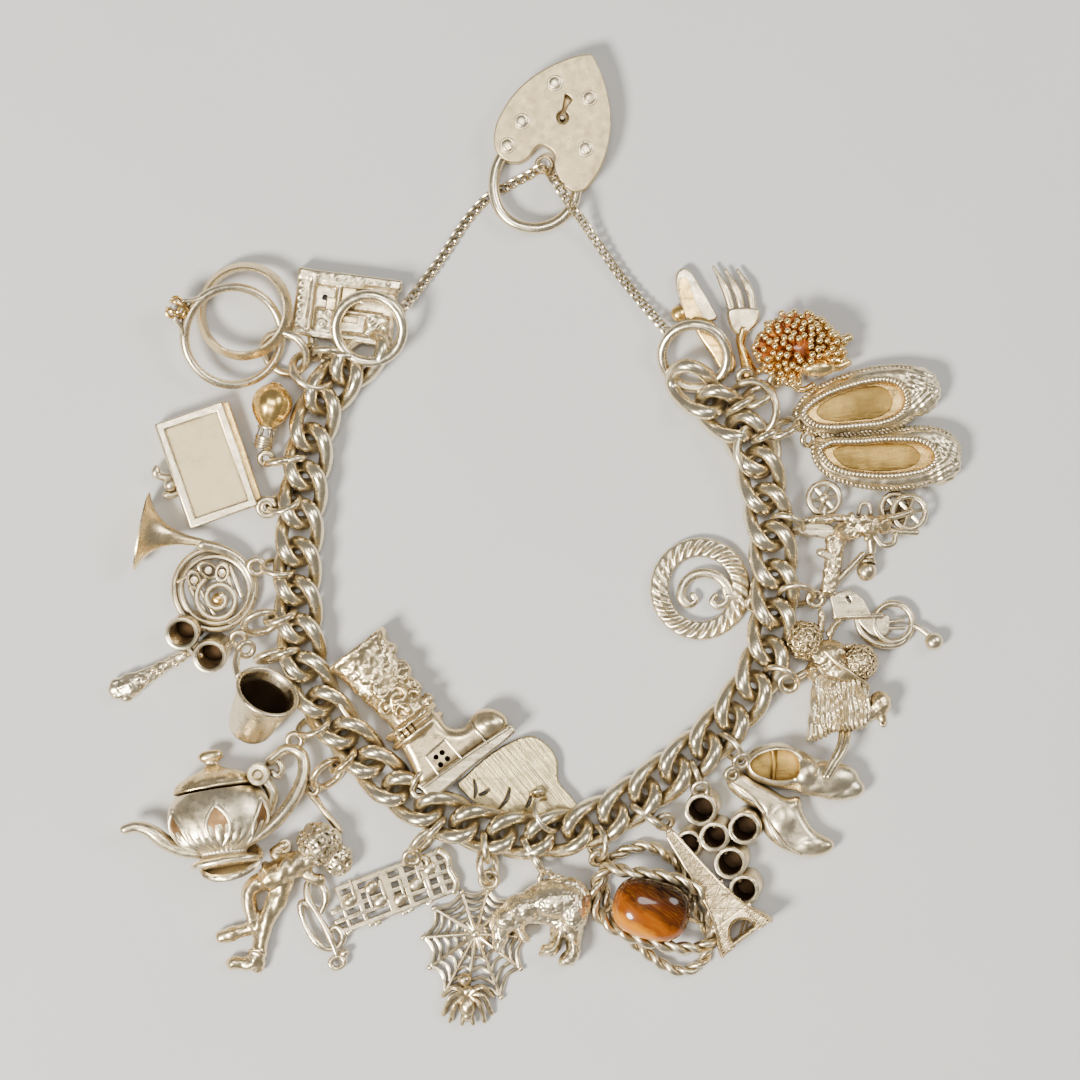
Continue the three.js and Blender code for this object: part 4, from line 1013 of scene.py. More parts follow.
def thimble():
    """A dented cup on its side, with painted shade inside it."""
    def lay(part, z):
        p = moved(moved(part, turn=(0, 50, 0)), turn=(0, 0, 61))
        return moved(moved(p, scale=(1, 1, 0.8)), (-38.2, -25.2, z))

    prof = [(0.0, 0.0), (2.2, 0.0), (2.75, 0.25), (3.0, 0.8), (3.3, 2.4), (3.6, 4.4), (3.85, 6.4),
            (3.95, 7.2), (4.2, 7.35), (4.4, 7.6), (4.4, 7.85), (4.2, 8.0), (3.95, 7.95), (3.8, 7.6),
            (3.6, 6.4), (3.2, 3.0), (2.8, 1.0), (0.0, 0.7)]
    cup = revolve([*finer(prof, 0.25), prof[-1]], 96)
    v = cup[0]
    outside = (np.hypot(v[:, 0], v[:, 1]) > 2.9) & (v[:, 2] < 7.2) & (v[:, 2] > 0.3)
    cup = pushed(cup, lambda q: 0.07 * outside * (pebbles(q, 0.42, 8) - 0.5)
                 + 0.03 * noise(q, 2.2, 4))
    strap = rod([(-39.2, -14.8, 4.6), (-39.5, -16.4, 5.4), (-39.2, -17.8, 6.1)], 18, 0.5, 12)
    hung = [eye((-38.3, -14.4), 3.6, 1.0, 0.42, 40, 30), jump_ring((-37, -15.9)), strap]
    piece("thimble_cup", [lay(cup, 1.75), *hung], SILVER, ["thimble"], sharp=60)
    # Painted shade: a dark inner skin just inside the cup, where the inside falls in shade.
    inner = revolve([(0, 0.8), (2.7, 1.1), (3.1, 3.0), (3.5, 6.2), (3.42, 6.2), (3.0, 3.0),
                     (2.6, 1.3), (0, 1.0)], 64)
    piece("thimble_painted_shade", lay(inner, 1.78), PAINTED_SHADE)


def teapot():
    """A fluted pot lying on its side, with leaf panels, a ribbed lid and a hinge boss."""
    def lay(part):
        p = moved(moved(part, scale=(1.12, 0.55, 1)), turn=(-101, 0, 0))
        return moved(p, (-41.9, -36.3, 3.75), (0, 0, 9))

    belly = [(0, -6.9), (3.4, -6.9), (4.1, -6.75), (4.2, -6.4), (3.6, -6.0), (2.7, -5.6),
             (2.6, -5.2), (3.4, -4.6), (4.6, -3.8), (5.5, -2.6), (6.05, -1.2), (6.15, 0.2),
             (5.95, 1.4), (5.6, 2.2), (5.2, 2.75), (5.05, 2.95), (0, 2.95)]
    fine = spline(belly, 96)

    def flutes(angle, r, z):
        lower = np.clip((-1.6 - z) / 2.2, 0, 1) * np.clip((z + 5.6) / 0.6, 0, 1)
        return r * (1 + 0.075 * lower * abs(math.sin(angle * 15)))

    pot = revolve(fine, 120, flutes)
    leaves, fills = [], []
    for k in range(6):
        a = 2 * math.pi * (k + 0.5) / 6
        rows = [(1.45 * math.sin(math.pi * min(t * 1.12, 1)) ** 0.8, -4.6 + 6.0 * t)
                for t in np.linspace(0, 1, 20)]

        def on_pot(x, y, lift, a=a):
            r = float(np.interp(y, fine[:, 1], fine[:, 0])) + lift
            return math.cos(a + x / r) * r, math.sin(a + x / r) * r, y

        outline = [on_pot(-x, y, 0.1) for x, y in rows] + [on_pot(x, y, 0.1) for x, y in rows[::-1]]
        leaves.append(tube(outline, 0.24, 8))
        leaves.append(tube([on_pot(0, y, 0.1) for x, y in rows[:9]], np.linspace(0.2, 0.08, 9), 8))
        grid = np.array([on_pot(x * u, y, 0.06) for x, y in rows[1:-1]
                         for u in (-0.8, -0.4, 0, 0.4, 0.8)])
        faces = [(c, c + 1, c + 6, c + 5) for r in range(len(rows) - 3)
                 for c in range(5 * r, 5 * r + 4)]
        fills.append((grid, faces))
    dome = [(0, 3.3), (4.7, 3.3), (5.0, 3.4), (5.05, 3.6), (4.8, 4.0), (4.6, 4.3), (4.2, 4.7),
            (3.0, 5.4), (1.6, 6.0), (0.95, 6.4), (0.75, 6.8), (0.9, 7.1), (1.45, 7.6), (1.5, 8.1),
            (1.1, 8.5), (0, 8.65)]

    def ribs(angle, r, z):
        on = np.clip((z - 3.8) / 0.4, 0, 1) * np.clip((6.2 - z) / 0.5, 0, 1)
        return r * (1 + 0.05 * on * abs(math.sin(angle * 6)))

    lid = revolve(spline(dome, 110), 96, ribs)
    spout = spline([(-43.9, -41.4, 3.0), (-46.6, -41.2, 3.0), (-49.2, -40.0, 3.2),
                    (-51.2, -38.5, 3.5), (-53.0, -38.0, 3.7), (-54.4, -38.3, 3.8)], 50)
    spout = tube(spout, np.interp(np.linspace(0, 1, 50), [0, 0.35, 0.6, 0.85, 1],
                                  [1.0, 1.05, 1.1, 0.8, 0.7]), 16)
    bore = ball((-54.9, -38.4, 3.9), (0.5, 0.42, 0.42), 14)
    grip = spline([(-37.9, -39.7, 4.6), (-36.2, -38.9, 4.9), (-33.6, -36.5, 4.4),
                   (-31.6, -33.5, 3.6), (-30.6, -30.4, 2.9), (-31.1, -28.3, 2.6),
                   (-33.0, -27.7, 2.6), (-35.2, -29.2, 2.8)], 80)
    grip = tube(grip, np.interp(np.linspace(0, 1, 80), [0, 0.25, 0.7, 1], [0.5, 0.9, 0.85, 0.6]),
                16)
    curl = [rod([(-35.4, -29.6, 2.4), (-34.2, -29.4, 2.4), (-33.6, -30.4, 2.4), (-34.2, -31.3, 2.4),
                 (-34.9, -30.8, 2.4)], 26, 0.45, 12),
            rod([(-35.8, -32.0, 2.4), (-34.9, -33.6, 2.4), (-35.2, -35.2, 2.4),
                 (-36.0, -36.8, 2.6)], 24, 0.8, 14)]
    hinge = [moved(revolve([(0.45, 1.2), (1.3, 1.2), (1.5, 1.5), (1.5, 3.9), (1.35, 4.2),
                            (0.8, 4.25), (0.7, 3.9), (0.45, 3.7)], 32), (-36.6, -31.0, 1.4))]
    hinge.append(tube([(-37.0, -31.7, 2.4), (-37.55, -32.4, 2.4)], 0.6, 12))
    sole = revolve([(0, -0.45), (4.0, -0.45), (4.35, -0.3), (4.45, 0), (4.3, 0.35), (3.9, 0.5),
                    (3.6, 0.3), (0, 0.3)], 56)
    sole = moved(moved(sole, turn=(-62, 0, 0)), (-40.3, -42.7, 2.9), (0, 0, 16), (1, 1, 0.55))
    hinge.append(uneven(sole, 0.06, 0.5, 5))
    hung = [eye((-31.9, -26.6), 2.4, 0.95, 0.42, 0, 12), jump_ring((-31.4, -25.4))]
    body = merge(lay(uneven(pot, 0.03, 2.5)), lay(merge(*leaves)))
    piece("teapot_pot", [body, cut(spout, bore), grip, *curl, *hinge, *hung], SILVER, ["teapot"])
    piece("teapot_leaf_panels", [lay(uneven(merge(*fills), 0.02, 0.5))], COPPERY)
    piece("teapot_cover", [lay(uneven(lid, 0.04, 1.0))], WARM, ["teapot_lid"], body="lid")


# ---------------------------------------------------------------- charms, lower left

def little_figure():
    """A curly-haired figure bent over a stick: the head is hair on every visible side."""
    lumps = [((-28.6, -40.2, 3.0), (2.75, 2.7, 2.3), 52),
             ((-26.3, -42.4, 2.3), (1.95, 2.0, 1.7), 40)]
    hair = pushed(merge(*[ball(*lump) for lump in lumps]),
                  lambda v: 0.55 * (pebbles(v, 0.95, 6) - 0.5) + 0.08 * noise(v, 0.4, 3))
    curls = []
    for k in range(52):
        a, h = RNG.uniform(0, 2 * math.pi), RNG.uniform(0.05, 1.0)
        centre, radii, _ = lumps[0 if k < 34 else 1]
        flat = math.sqrt(1 - h * h)
        d = np.array([flat * math.cos(a), flat * math.sin(a), h])
        curls.append(moved(ring(0.44, 0.24, 8, 16), np.array(centre) + d * np.array(radii),
                           (math.degrees(math.acos(h)) * 0.9, 0, math.degrees(a) + 90)))
    torso = [rod([(-29.8, -42.0, 2.6), (-33.0, -43.6, 2.7), (-35.0, -44.8, 2.5)], 14,
                 np.linspace(1.6, 1.9, 14), 18), ball((-34.4, -44.9, 2.4), (2.0, 1.6, 1.5), 20)]
    legs = [rod([(-34.6, -44.6, 2.3), (-37.9, -46.5, 2.2), (-37.8, -49.2, 2.1),
                 (-36.9, -51.4, 1.8)], 30, np.linspace(1.35, 0.95, 30), 18),
            tube([(-37.0, -51.3, 1.6), (-39.4, -52.2, 1.3), (-41.5, -52.8, 1.2)], [0.95, 0.9, 1.05],
                 16),
            rod([(-33.4, -45.2, 2.2), (-34.4, -48.0, 2.2), (-35.9, -51.0, 2.0), (-36.6, -54.0, 1.8),
                 (-37.1, -55.9, 1.6)], 34, np.linspace(1.5, 1.05, 34), 18),
            tube([(-37.0, -56.2, 1.4), (-38.8, -56.4, 1.2), (-40.4, -56.4, 1.2)], [1.1, 0.95, 0.85],
                 16), ball((-37.0, -57.0, 1.2), (0.9, 0.8, 0.8), 14)]
    cuffs = [moved(ring(1.0, 0.25, 8, 24), (-37.2, -51.0, 1.9), (60, 0, 20)),
             moved(ring(1.15, 0.25, 8, 24), (-36.9, -54.9, 1.8), (70, 0, -10)),
             moved(ring(1.5, 0.25, 8, 24), (-35.3, -44.2, 2.4), (0, 75, 30))]
    arms = [rod([(-31.2, -42.0, 2.9), (-33.6, -42.4, 2.7), (-34.6, -41.4, 2.4),
                 (-33.2, -40.5, 2.2)], 18, 0.72, 14),
            rod([(-30.2, -42.6, 2.6), (-30.0, -44.6, 2.6), (-28.6, -45.2, 2.3)], 14, 0.8, 14)]
    folds = cast([*torso, *legs, *arms, *cuffs], 0.15, 2)
    folds = pushed(folds, lambda v: 0.09 * np.sin(v[:, 0] * 2.6 + 3 * noise(v, 2.0, 2))
                   + 0.05 * noise(v, 0.6, 9))
    stick = [tube([(-30.3, -33.2, 1.4), (-25.9, -38.6, 2.3)], 0.42, 12),
             tube([(-28.9, -34.3, 1.6), (-28.2, -35.7, 1.8)], 0.3, 10),
             moved(revolve([(0.35, -0.35), (0.85, -0.3), (0.95, 0), (0.85, 0.3), (0.35, 0.35)], 24),
                   (-33.2, -40.7, 2.4))]
    hung = [eye((-29.6, -33.0), 2.1, 0.85, 0.38, 0, 20), jump_ring((-29.2, -32.6))]
    piece("figure_hair", [hair, *curls], SILVER)
    piece("figure_body", [folds, *stick, *hung], WARM, ["figure"])


def music_stave():
    """Five lines with bar lines and notes, and a clef standing at one end."""
    here = {"shift": (-19.2, -46.8, 0), "turn": (0, 0, 20)}
    parts = []
    for row in range(-2, 3):
        left = -8.4 if row < 1 else -6.8
        parts.append(block((8.4 - left, 0.74, 0.8), ((8.4 + left) / 2, row * 1.38, 1.15),
                           bevel=0.2))
    for x, wide in ((-4.2, 0.8), (-0.2, 1.3), (2.3, 0.9), (5.0, 0.9), (6.9, 0.9), (-6.6, 0.6)):
        parts.append(block((wide, 6.0, 0.8), (x, 0, 1.15), bevel=0.2))
    parts.append(rod([(8.0, 2.9, 1.15), (8.7, 1.7, 1.15), (8.4, 0, 1.15), (8.7, -1.7, 1.15),
                      (8.0, -2.9, 1.15)], 30, 0.5, 12))
    for x, y, up in ((-5.4, 0.7, 1), (-2.2, 1.4, -1), (0.9, -1.4, 1), (3.6, -0.2, 1),
                     (6.0, 1.1, -1), (-1.6, -0.7, 1)):
        parts.append(moved(ball((0, 0, 0), (1.05, 0.8, 0.45), 18), (x, y, 1.55), (0, 0, 22)))
        parts.append(block((0.4, 2.8, 0.5), (x + 0.75 * up, y + 1.3 * up, 1.55), bevel=0.12))
    for x, y in ((-3.8, -3.2), (-3.0, -3.4), (0.9, -3.3), (1.7, -3.2), (4.4, -3.1), (-7.0, -3.2)):
        parts.append(block((1.0, 0.7, 0.8), (x, y, 1.2), 10, 0.25))
    stem = spline([(-9.6, -5.4, 1.3), (-9.7, -2.5, 1.4), (-10.2, 0.8, 1.5), (-10.6, 3.2, 1.5),
                   (-9.9, 4.9, 1.5), (-8.8, 4.9, 1.5), (-8.2, 3.4, 1.5), (-8.5, 1.8, 1.4),
                   (-9.6, 0.6, 1.3)], 80)
    belly = spline([(-9.8, 0.9, 1.2), (-11.6, 2.6, 1.2), (-12.2, 1.0, 1.2), (-11.9, -2.2, 1.2),
                    (-10.7, -4.3, 1.2), (-8.9, -4.5, 1.2), (-7.9, -3.2, 1.2), (-8.5, -1.9, 1.2),
                    (-9.6, -2.4, 1.2)], 80)
    swell = 0.36 + 0.16 * np.sin(np.linspace(0, 3 * math.pi, 80)) ** 2
    parts += [tube(stem, swell, 12), tube(belly, swell, 12),
              moved(ring(0.85, 0.38, 12, 32), (-9.9, -6.5, 1.2), scale=(1.1, 0.9, 1)),
              ball((-8.6, -5.6, 1.3), (0.7, 0.6, 0.5), 16)]
    body = uneven(merge(*parts), 0.035, 0.7, 12)
    hung = [eye((-16.3, -42.2), 2.0, 1.0, 0.42, 20, 24), jump_ring((-16.2, -41.4)),
            eye((-15.0, -43.0), 1.5, 0.8, 0.4, 0, 10)]
    piece("music_stave_charm", [moved(body, **here), *hung], SILVER, ["music_stave"])


def heeled_boot():
    """A cowboy boot on its side: worked shaft, two bands, pierced panel, heel and thin sole."""
    cuff = np.array([-15.5, -24.8])
    turn = 38
    up = np.array([-math.sin(math.radians(turn)), math.cos(math.radians(turn))])

    shaft = revolve(spline([(0, -1.5), (2.6, -1.5), (2.75, 0.4), (2.9, 2.8), (3.2, 5.4), (3.6, 8.0),
                            (3.9, 10.4), (4.3, 12.2), (4.7, 12.9), (4.6, 13.4), (4.1, 13.5),
                            (3.7, 12.9), (3.4, 11.4), (0, 10.9)], 120), 64)
    shaft = moved(moved(moved(shaft, scale=(1, 0.6, 1)), turn=(-90, 0, 0)), (*cuff, 2.9),
                  (0, 0, turn))
    scrolls = []
    for start, x, y, r in ((0, -1.1, 9.6, 1.15), (40, 1.4, 10.8, 0.9), (90, -0.5, 6.9, 1.1),
                           (20, 1.6, 8.2, 0.9), (70, -1.8, 4.6, 0.9), (10, 0.9, 5.2, 1.0),
                           (50, -0.4, 2.8, 0.9), (0, 2.3, 3.6, 0.7), (30, -2.8, 8.0, 0.8),
                           (60, 2.9, 11.4, 0.7), (0, -2.6, 11.4, 0.8), (20, 2.9, 6.6, 0.7)):
        a = np.linspace(0, 1.5 * math.pi, 16)
        z = 3.0 * math.sqrt(max(0.05, 1 - (x / 3.9) ** 2))
        curve = [(x + r * (1 - 0.03 * k) * math.cos(t + start),
                  y + r * (1 - 0.03 * k) * math.sin(t + start) * 1.2, z * 0.64)
                 for k, t in enumerate(a)]
        scrolls.append(tube(curve, np.linspace(0.42, 0.16, 16), 8))
    leaf = moved(merge(*scrolls), (*cuff, 2.95), (0, 0, turn))
    bands = []
    for low, high in (((-19.3, -26.3), (-13.5, -21.9)), ((-18.4, -27.5), (-12.6, -23.1))):
        mid = ((low[0] + high[0]) / 2, (low[1] + high[1]) / 2)
        bands.append(rod([(*low, 2.6), (low[0] + 1.2, low[1] + 0.9, 4.2), (*mid, 4.85),
                          (high[0] - 1.2, high[1] - 0.9, 4.2), (*high, 2.6)], 30, 0.5, 12))
    between = moved(moved(ball((0, 0, 0), (3.4, 1.0, 2.05), 30), turn=(0, 0, 37)),
                    (-15.9, -24.7, 2.7))
    foot = [slab([(-17.6, -27.0), (-16.7, -29.2), (-16.0, -30.9), (-15.4, -32.4), (-13.8, -32.4),
                  (-11.2, -30.5), (-7.5, -27.6), (-3.6, -24.8), (-3.6, -23.6), (-4.8, -22.6),
                  (-6.1, -22.3), (-7.5, -22.6), (-8.4, -23.6), (-9.2, -24.7), (-10.4, -25.0),
                  (-11.5, -24.7), (-12.5, -23.5), (-13.4, -22.6), (-15.5, -24.5)], 110, 0.5, 4.5,
                 1.3, steps=5), ball((-6.2, -24.4, 2.7), (2.5, 1.9, 2.2), 30)]
    knobs = [ball(c, r, 18)
             for c, r in (((-17.6, -17.3, 3.3), (1.3, 1.7, 1.1)),
                          ((-16.3, -18.9, 3.2), (0.9, 0.8, 0.8)),
                          ((-15.5, -19.5, 3.2), (0.75, 0.75, 0.7)),
                          ((-14.1, -21.0, 3.2), (0.75, 0.8, 0.7)),
                          ((-18.9, -14.4, 3.3), (0.8, 0.9, 0.8)))]
    body = cast([shaft, leaf, *bands, between, *foot, *knobs], 0.18, 2)

    def worked(q):
        along = (q[:, :2] - cuff) @ up
        chased = 0.13 * noise(q, 0.8, 21) + 0.07 * noise(q, 0.35, 5)
        return chased * np.clip(along, 0, 1) + 0.015 * noise(q, 0.8, 3)

    body = pushed(body, worked)
    slots = [block((0.3, 1.3, 1.4), (-18.0 + 0.68 * k, -26.2 + 0.52 * k, 4.7), turn, 0.08)
             for k in range(4)]
    pins = ((-13.0, -28.7), (-11.5, -28.9), (-12.4, -29.7), (-12.2, -28.1))
    drills = [moved(revolve([(0, -0.9), (0.38, -0.9), (0.38, 1.2), (0, 1.2)], 20), (*q, 4.5))
              for q in pins]
    body = cut(body, *slots, *drills)
    sole = slab([(-3.5, -24.5), (-2.8, -24.7), (-2.5, -25.3), (-2.9, -25.8), (-8.0, -29.9),
                 (-13.2, -34.0), (-14.2, -34.0), (-14.8, -33.2), (-15.6, -32.5), (-14.4, -31.6),
                 (-8.0, -27.4)], 90, 0.4, 4.15, 0.3, steps=3)
    welt = rod([(-14.7, -32.7, 4.15), (-8.4, -28.1, 4.3), (-3.2, -24.7, 4.1)], 40, 0.24, 10)
    panel = [tube([(*p, 4.52), (*q, 4.52)], 0.15, 8) for p, q in (
        ((-14.4, -28.6), (-12.7, -31.0)), ((-12.7, -31.0), (-9.7, -28.8)),
        ((-11.8, -26.3), (-9.6, -28.9)), ((-11.8, -26.3), (-14.4, -28.6)))]
    toe = rod([(-8.5, -24.0, 4.2), (-7.6, -25.3, 4.72), (-6.2, -26.9, 4.3)], 20, 0.16, 8)
    tab = [eye((-15.3, -33.2), 3.4, 0.85, 0.42, 0, 0), jump_ring((-13, -30.3)),
           rod([(-26.3, -20.2, 3.4), (-25.6, -22.2, 3.6), (-23.6, -24.4, 3.4), (-22.6, -24.2, 3.0)],
               24, 0.34, 12)]
    piece("boot_leather", body, WARM, ["cowboy_boot"], sharp=60)
    piece("boot_sole", [uneven(sole, 0.02, 1.0, 3), welt, *panel, toe, *tab], SILVER)
    # Painted shade: dark discs at the bottom of the drilled pin holes.
    piece("boot_pin_hole_shade", [moved(revolve([(0, 0), (0.37, 0), (0.37, 0.08), (0, 0.08)], 20),
                                   (*q, 3.66)) for q in pins], PAINTED_SHADE)


def elephant_plate():
    """A flat cut-out with a few narrow cuts, brushed one way."""
    edge = [(-10.2, -32.5), (-9.3, -31.5), (-7.6, -29.9), (-5.6, -28.3), (-3.2, -26.9),
            (-1.2, -26.1), (0.0, -26.1), (1.4, -26.9), (2.6, -28.2), (3.15, -29.6), (3.2, -31.6),
            (3.6, -32.6), (4.8, -33.9), (5.6, -35.0), (6.0, -35.9), (5.3, -36.4), (4.3, -35.9),
            (3.7, -36.6), (1.0, -36.7), (-0.6, -36.6), (-1.6, -36.2), (-3.2, -36.9), (-4.8, -36.9),
            (-6.0, -36.3), (-7.5, -35.3), (-8.9, -34.0)]

    def crack(points, wide):
        line = spline(points, 12)
        d = np.gradient(line, axis=0)
        d /= np.linalg.norm(d, axis=1)[:, None]
        n = np.stack([-d[:, 1], d[:, 0]],
                     axis=1) * (np.sin(np.linspace(0.25, math.pi - 0.1, 12)) * wide)[:, None]
        return np.concatenate([line + n, (line - n)[::-1]])

    holes = [crack([(-8.0, -31.9), (-7.75, -33.1), (-7.95, -34.3)], 0.15),
             crack([(-7.35, -33.9), (-6.7, -33.7), (-5.9, -33.1)], 0.15),
             crack([(-3.2, -33.0), (-3.6, -34.4), (-4.6, -35.7)], 0.16),
             crack([(-0.4, -33.9), (-0.55, -34.7), (-1.1, -35.7)], 0.14)]
    body = slab(edge, 150, 0.35, 1.55, 0.22, holes, 3)
    hung = [eye((0.5, -33.7), 1.9, 0.7, 0.35, 0, 60), jump_ring((0.6, -34.4))]
    piece("elephant_plate_charm", uneven(body, 0.012, 2.0), DIAGONAL, ["elephant_plate"])
    piece("elephant_plate_loop", hung, CHAIN_SILVER)


def spider_web():
    """Spokes and sagging threads, with a spider at the lower edge."""
    hub = np.array([-7.8, -52.5])
    tips = [(-14.8, -53.0), (-13.4, -49.1), (-9.7, -46.9), (-6.1, -46.5), (-3.3, -48.0),
            (-0.9, -53.0), (-1.8, -57.2), (-4.4, -61.0), (-8.9, -60.3), (-12.0, -60.5),
            (-13.9, -57.0)]
    parts = []
    for t in map(np.array, tips):
        parts.append(tube([(*(hub + (t - hub) * 0.1), 0.55), (*t, 0.55)], [0.34, 0.3], 10))
        parts.append(ball((*t, 0.6), (0.42, 0.42, 0.35), 12))
    for share, wire in ((0.24, 0.26), (0.43, 0.27), (0.62, 0.28), (0.8, 0.29), (0.96, 0.32)):
        for a, b in zip(tips, tips[1:] + tips[:1]):
            p, q = hub + (np.array(a) - hub) * share, hub + (np.array(b) - hub) * share
            sag = hub + ((p + q) / 2 - hub) * 0.9
            parts.append(rod([(*p, 0.55), (*sag, 0.5), (*q, 0.55)], 12, wire, 8))
    for a in around(14):
        far = hub + np.array([math.cos(a), math.sin(a)]) * 1.9
        parts.append(tube([(*hub, 0.75), (*far, 0.6)], [0.24, 0.13], 8))
    parts.append(ball((*hub, 0.8), (0.6, 0.6, 0.35), 16))
    spot = np.array([-8.9, -62.0])
    spider = [ball((*spot, 1.6), (1.15, 1.5, 1.0), 26),
              ball((-8.9, -60.1, 1.4), (0.85, 0.8, 0.75), 20),
              ball((-9.3, -58.6, 1.3), (0.95, 0.95, 0.75), 20),
              ball((-8.9, -63.2, 1.4), (0.8, 0.9, 0.75), 18)]
    for side in (-1, 1):
        for bend, far in (((1.7, -59.6), (3.3, -60.8)), ((1.9, -60.6), (3.2, -63.2)),
                          ((1.5, -61.6), (2.3, -64.2))):
            line = spline([(spot[0], -60.6, 1.5), (spot[0] + side * bend[0], bend[1], 1.9),
                           (spot[0] + side * far[0], far[1], 0.6)], 18)
            spider.append(tube(line, np.linspace(0.45, 0.34, 18), 10))
        spider.append(tube([(spot[0] + side * 0.4, -63.2, 1.3),
                            (spot[0] + side * 0.75, -64.5, 1.0)], [0.45, 0.3], 10))
    hung = [eye((-6.0, -45.2), 1.6, 1.1, 0.42, 0, 14), jump_ring((-5.9, -45.4)),
            tube([(-6.1, -46.2, 0.9), (-6.2, -46.9, 0.7)], 0.4, 10)]
    piece("spider_web_charm", [uneven(merge(*parts), 0.03, 0.6, 31), *hung], SILVER, ["spider_web"])
    piece("web_spider", uneven(merge(*spider), 0.06, 0.5, 12), WARM)


def walking_bear():
    """A heavy animal with pebbled fur, walking."""
    edge = [(-5.6, -50.0), (-4.7, -49.0), (-3.0, -48.1), (-0.6, -46.1), (1.2, -45.2), (3.4, -44.8),
            (5.5, -44.9), (7.1, -46.2), (7.75, -48.4), (6.9, -50.5), (6.1, -52.6), (6.2, -54.8),
            (5.4, -56.4), (3.4, -56.6), (3.3, -55.6), (4.3, -54.4), (4.2, -52.9), (3.8, -52.8),
            (3.4, -54.5), (2.6, -55.4), (1.0, -55.0), (1.0, -53.9), (2.4, -53.5), (2.9, -52.4),
            (2.4, -51.4), (0.5, -51.0), (-1.2, -51.2), (-1.1, -52.2), (-0.4, -53.3), (-1.7, -53.5),
            (-2.5, -52.3), (-3.0, -51.8), (-3.4, -53.0), (-4.6, -54.9), (-5.3, -54.7),
            (-5.6, -52.4)]
    parts = [slab(edge, 150, 0.7, 3.9, 1.2, steps=4), ball((3.0, -47.9, 2.8), (4.2, 2.5, 2.7), 34),
             ball((5.2, -49.2, 2.8), (2.1, 3.0, 2.5), 28),
             ball((-1.4, -48.8, 2.8), (2.6, 2.0, 2.3), 28),
             ball((-3.9, -50.4, 2.7), (1.6, 1.7, 1.9), 24),
             ball((-4.6, -52.6, 2.3), (0.9, 2.0, 1.4), 22),
             ball((-2.4, -48.9, 4.5), (0.85, 0.7, 0.6), 16),
             tube([(5.4, -50.0, 2.6), (5.2, -55.0, 1.8)], [1.4, 0.85], 16),
             tube([(3.4, -50.4, 2.2), (2.8, -54.2, 1.6)], [1.3, 0.8], 16)]
    for x, y in ((1.7, -55.1), (4.3, -56.3)):
        parts += [ball((x + dx, y - 0.1, 1.5), (0.4, 0.45, 0.5), 12) for dx in (-0.75, 0, 0.75)]
    body = cast(parts, 0.17, 3)
    body = pushed(body, lambda v: 0.17 * (pebbles(v, 0.55, 3) - 0.5) + 0.05 * noise(v, 2.4, 8))
    hung = [eye((1.6, -45.0), 2.4, 0.95, 0.4, 60, 30), jump_ring((1.2, -44.1)),
            eye((2.9, -45.2), 2.0, 0.85, 0.36, 10, 50)]
    piece("bear_charm", body, SILVER, ["bear"], sharp=70)
    piece("bear_loops", hung, CHAIN_SILVER)


# ---------------------------------------------------------------- charms, lower right

def rope_cage_and_stone():
    """A tumbled stone between two twisted rope ovals."""
    v, f = ball((0, 0, 0), (1, 1, 1), 56)
    s = np.sign(v) * np.abs(v) ** np.array([0.72, 0.8, 0.85])
    stone = moved((s, f), (15.6, -48.85, 4.3), (0, 0, -14), (5.2, 4.1, 3.25))
    stone = pushed(stone, lambda q: 0.06 * noise(q, 3.0, 2))
    piece("tiger_eye_bead", stone, TIGER, ["tiger_eye_stone"], sharp=80)
    front = [(9.7, -43.5, 3.0), (12.7, -44.0, 4.2), (16.6, -44.4, 4.6), (20.5, -45.6, 4.0),
             (22.8, -47.6, 3.0), (23.7, -50.4, 2.4), (24.0, -52.8, 2.0), (22.6, -54.1, 2.2),
             (19.6, -54.2, 3.2), (16.1, -53.5, 3.6), (12.7, -52.5, 3.4), (9.8, -51.0, 2.6),
             (8.2, -49.0, 2.2), (8.1, -46.8, 2.2), (8.7, -44.8, 2.4)]
    back = [(10.2, -42.6, 1.0), (12.7, -41.2, 0.8), (15.3, -40.8, 0.75), (18.0, -42.2, 0.75),
            (20.2, -44.6, 0.75), (21.0, -47.4, 0.75), (22.2, -50.4, 0.75), (23.4, -53.0, 0.75),
            (23.0, -55.4, 0.75), (21.6, -57.0, 0.75), (19.6, -57.5, 0.75), (17.4, -56.7, 0.75),
            (15.1, -55.1, 0.8), (11.4, -51.6, 0.8), (9.6, -47.6, 0.8), (9.4, -44.6, 0.9)]
    ropes = rope(front, 0.9, count=420, sides=10) + rope(back, 0.78, count=420, sides=10)
    pins = [tube([(9.6, -49.4, 2.4), (10.8, -48.2, 3.9)], 0.3, 10),
            tube([(20.2, -50.1, 4.0), (22.2, -51.0, 1.6)], 0.3, 10)]
    hung = [eye((8.6, -42.2), 2.6, 1.05, 0.42, 30, 40), jump_ring((8.6, -42.4)),
            ball((9.6, -43.2, 2.2), (0.9, 0.9, 0.8), 18)]
    piece("rope_cage_wire", [*[uneven(r, 0.02, 0.5, k) for k, r in enumerate(ropes)], *pins, *hung],
          SILVER, ["rope_cage"], sharp=70)


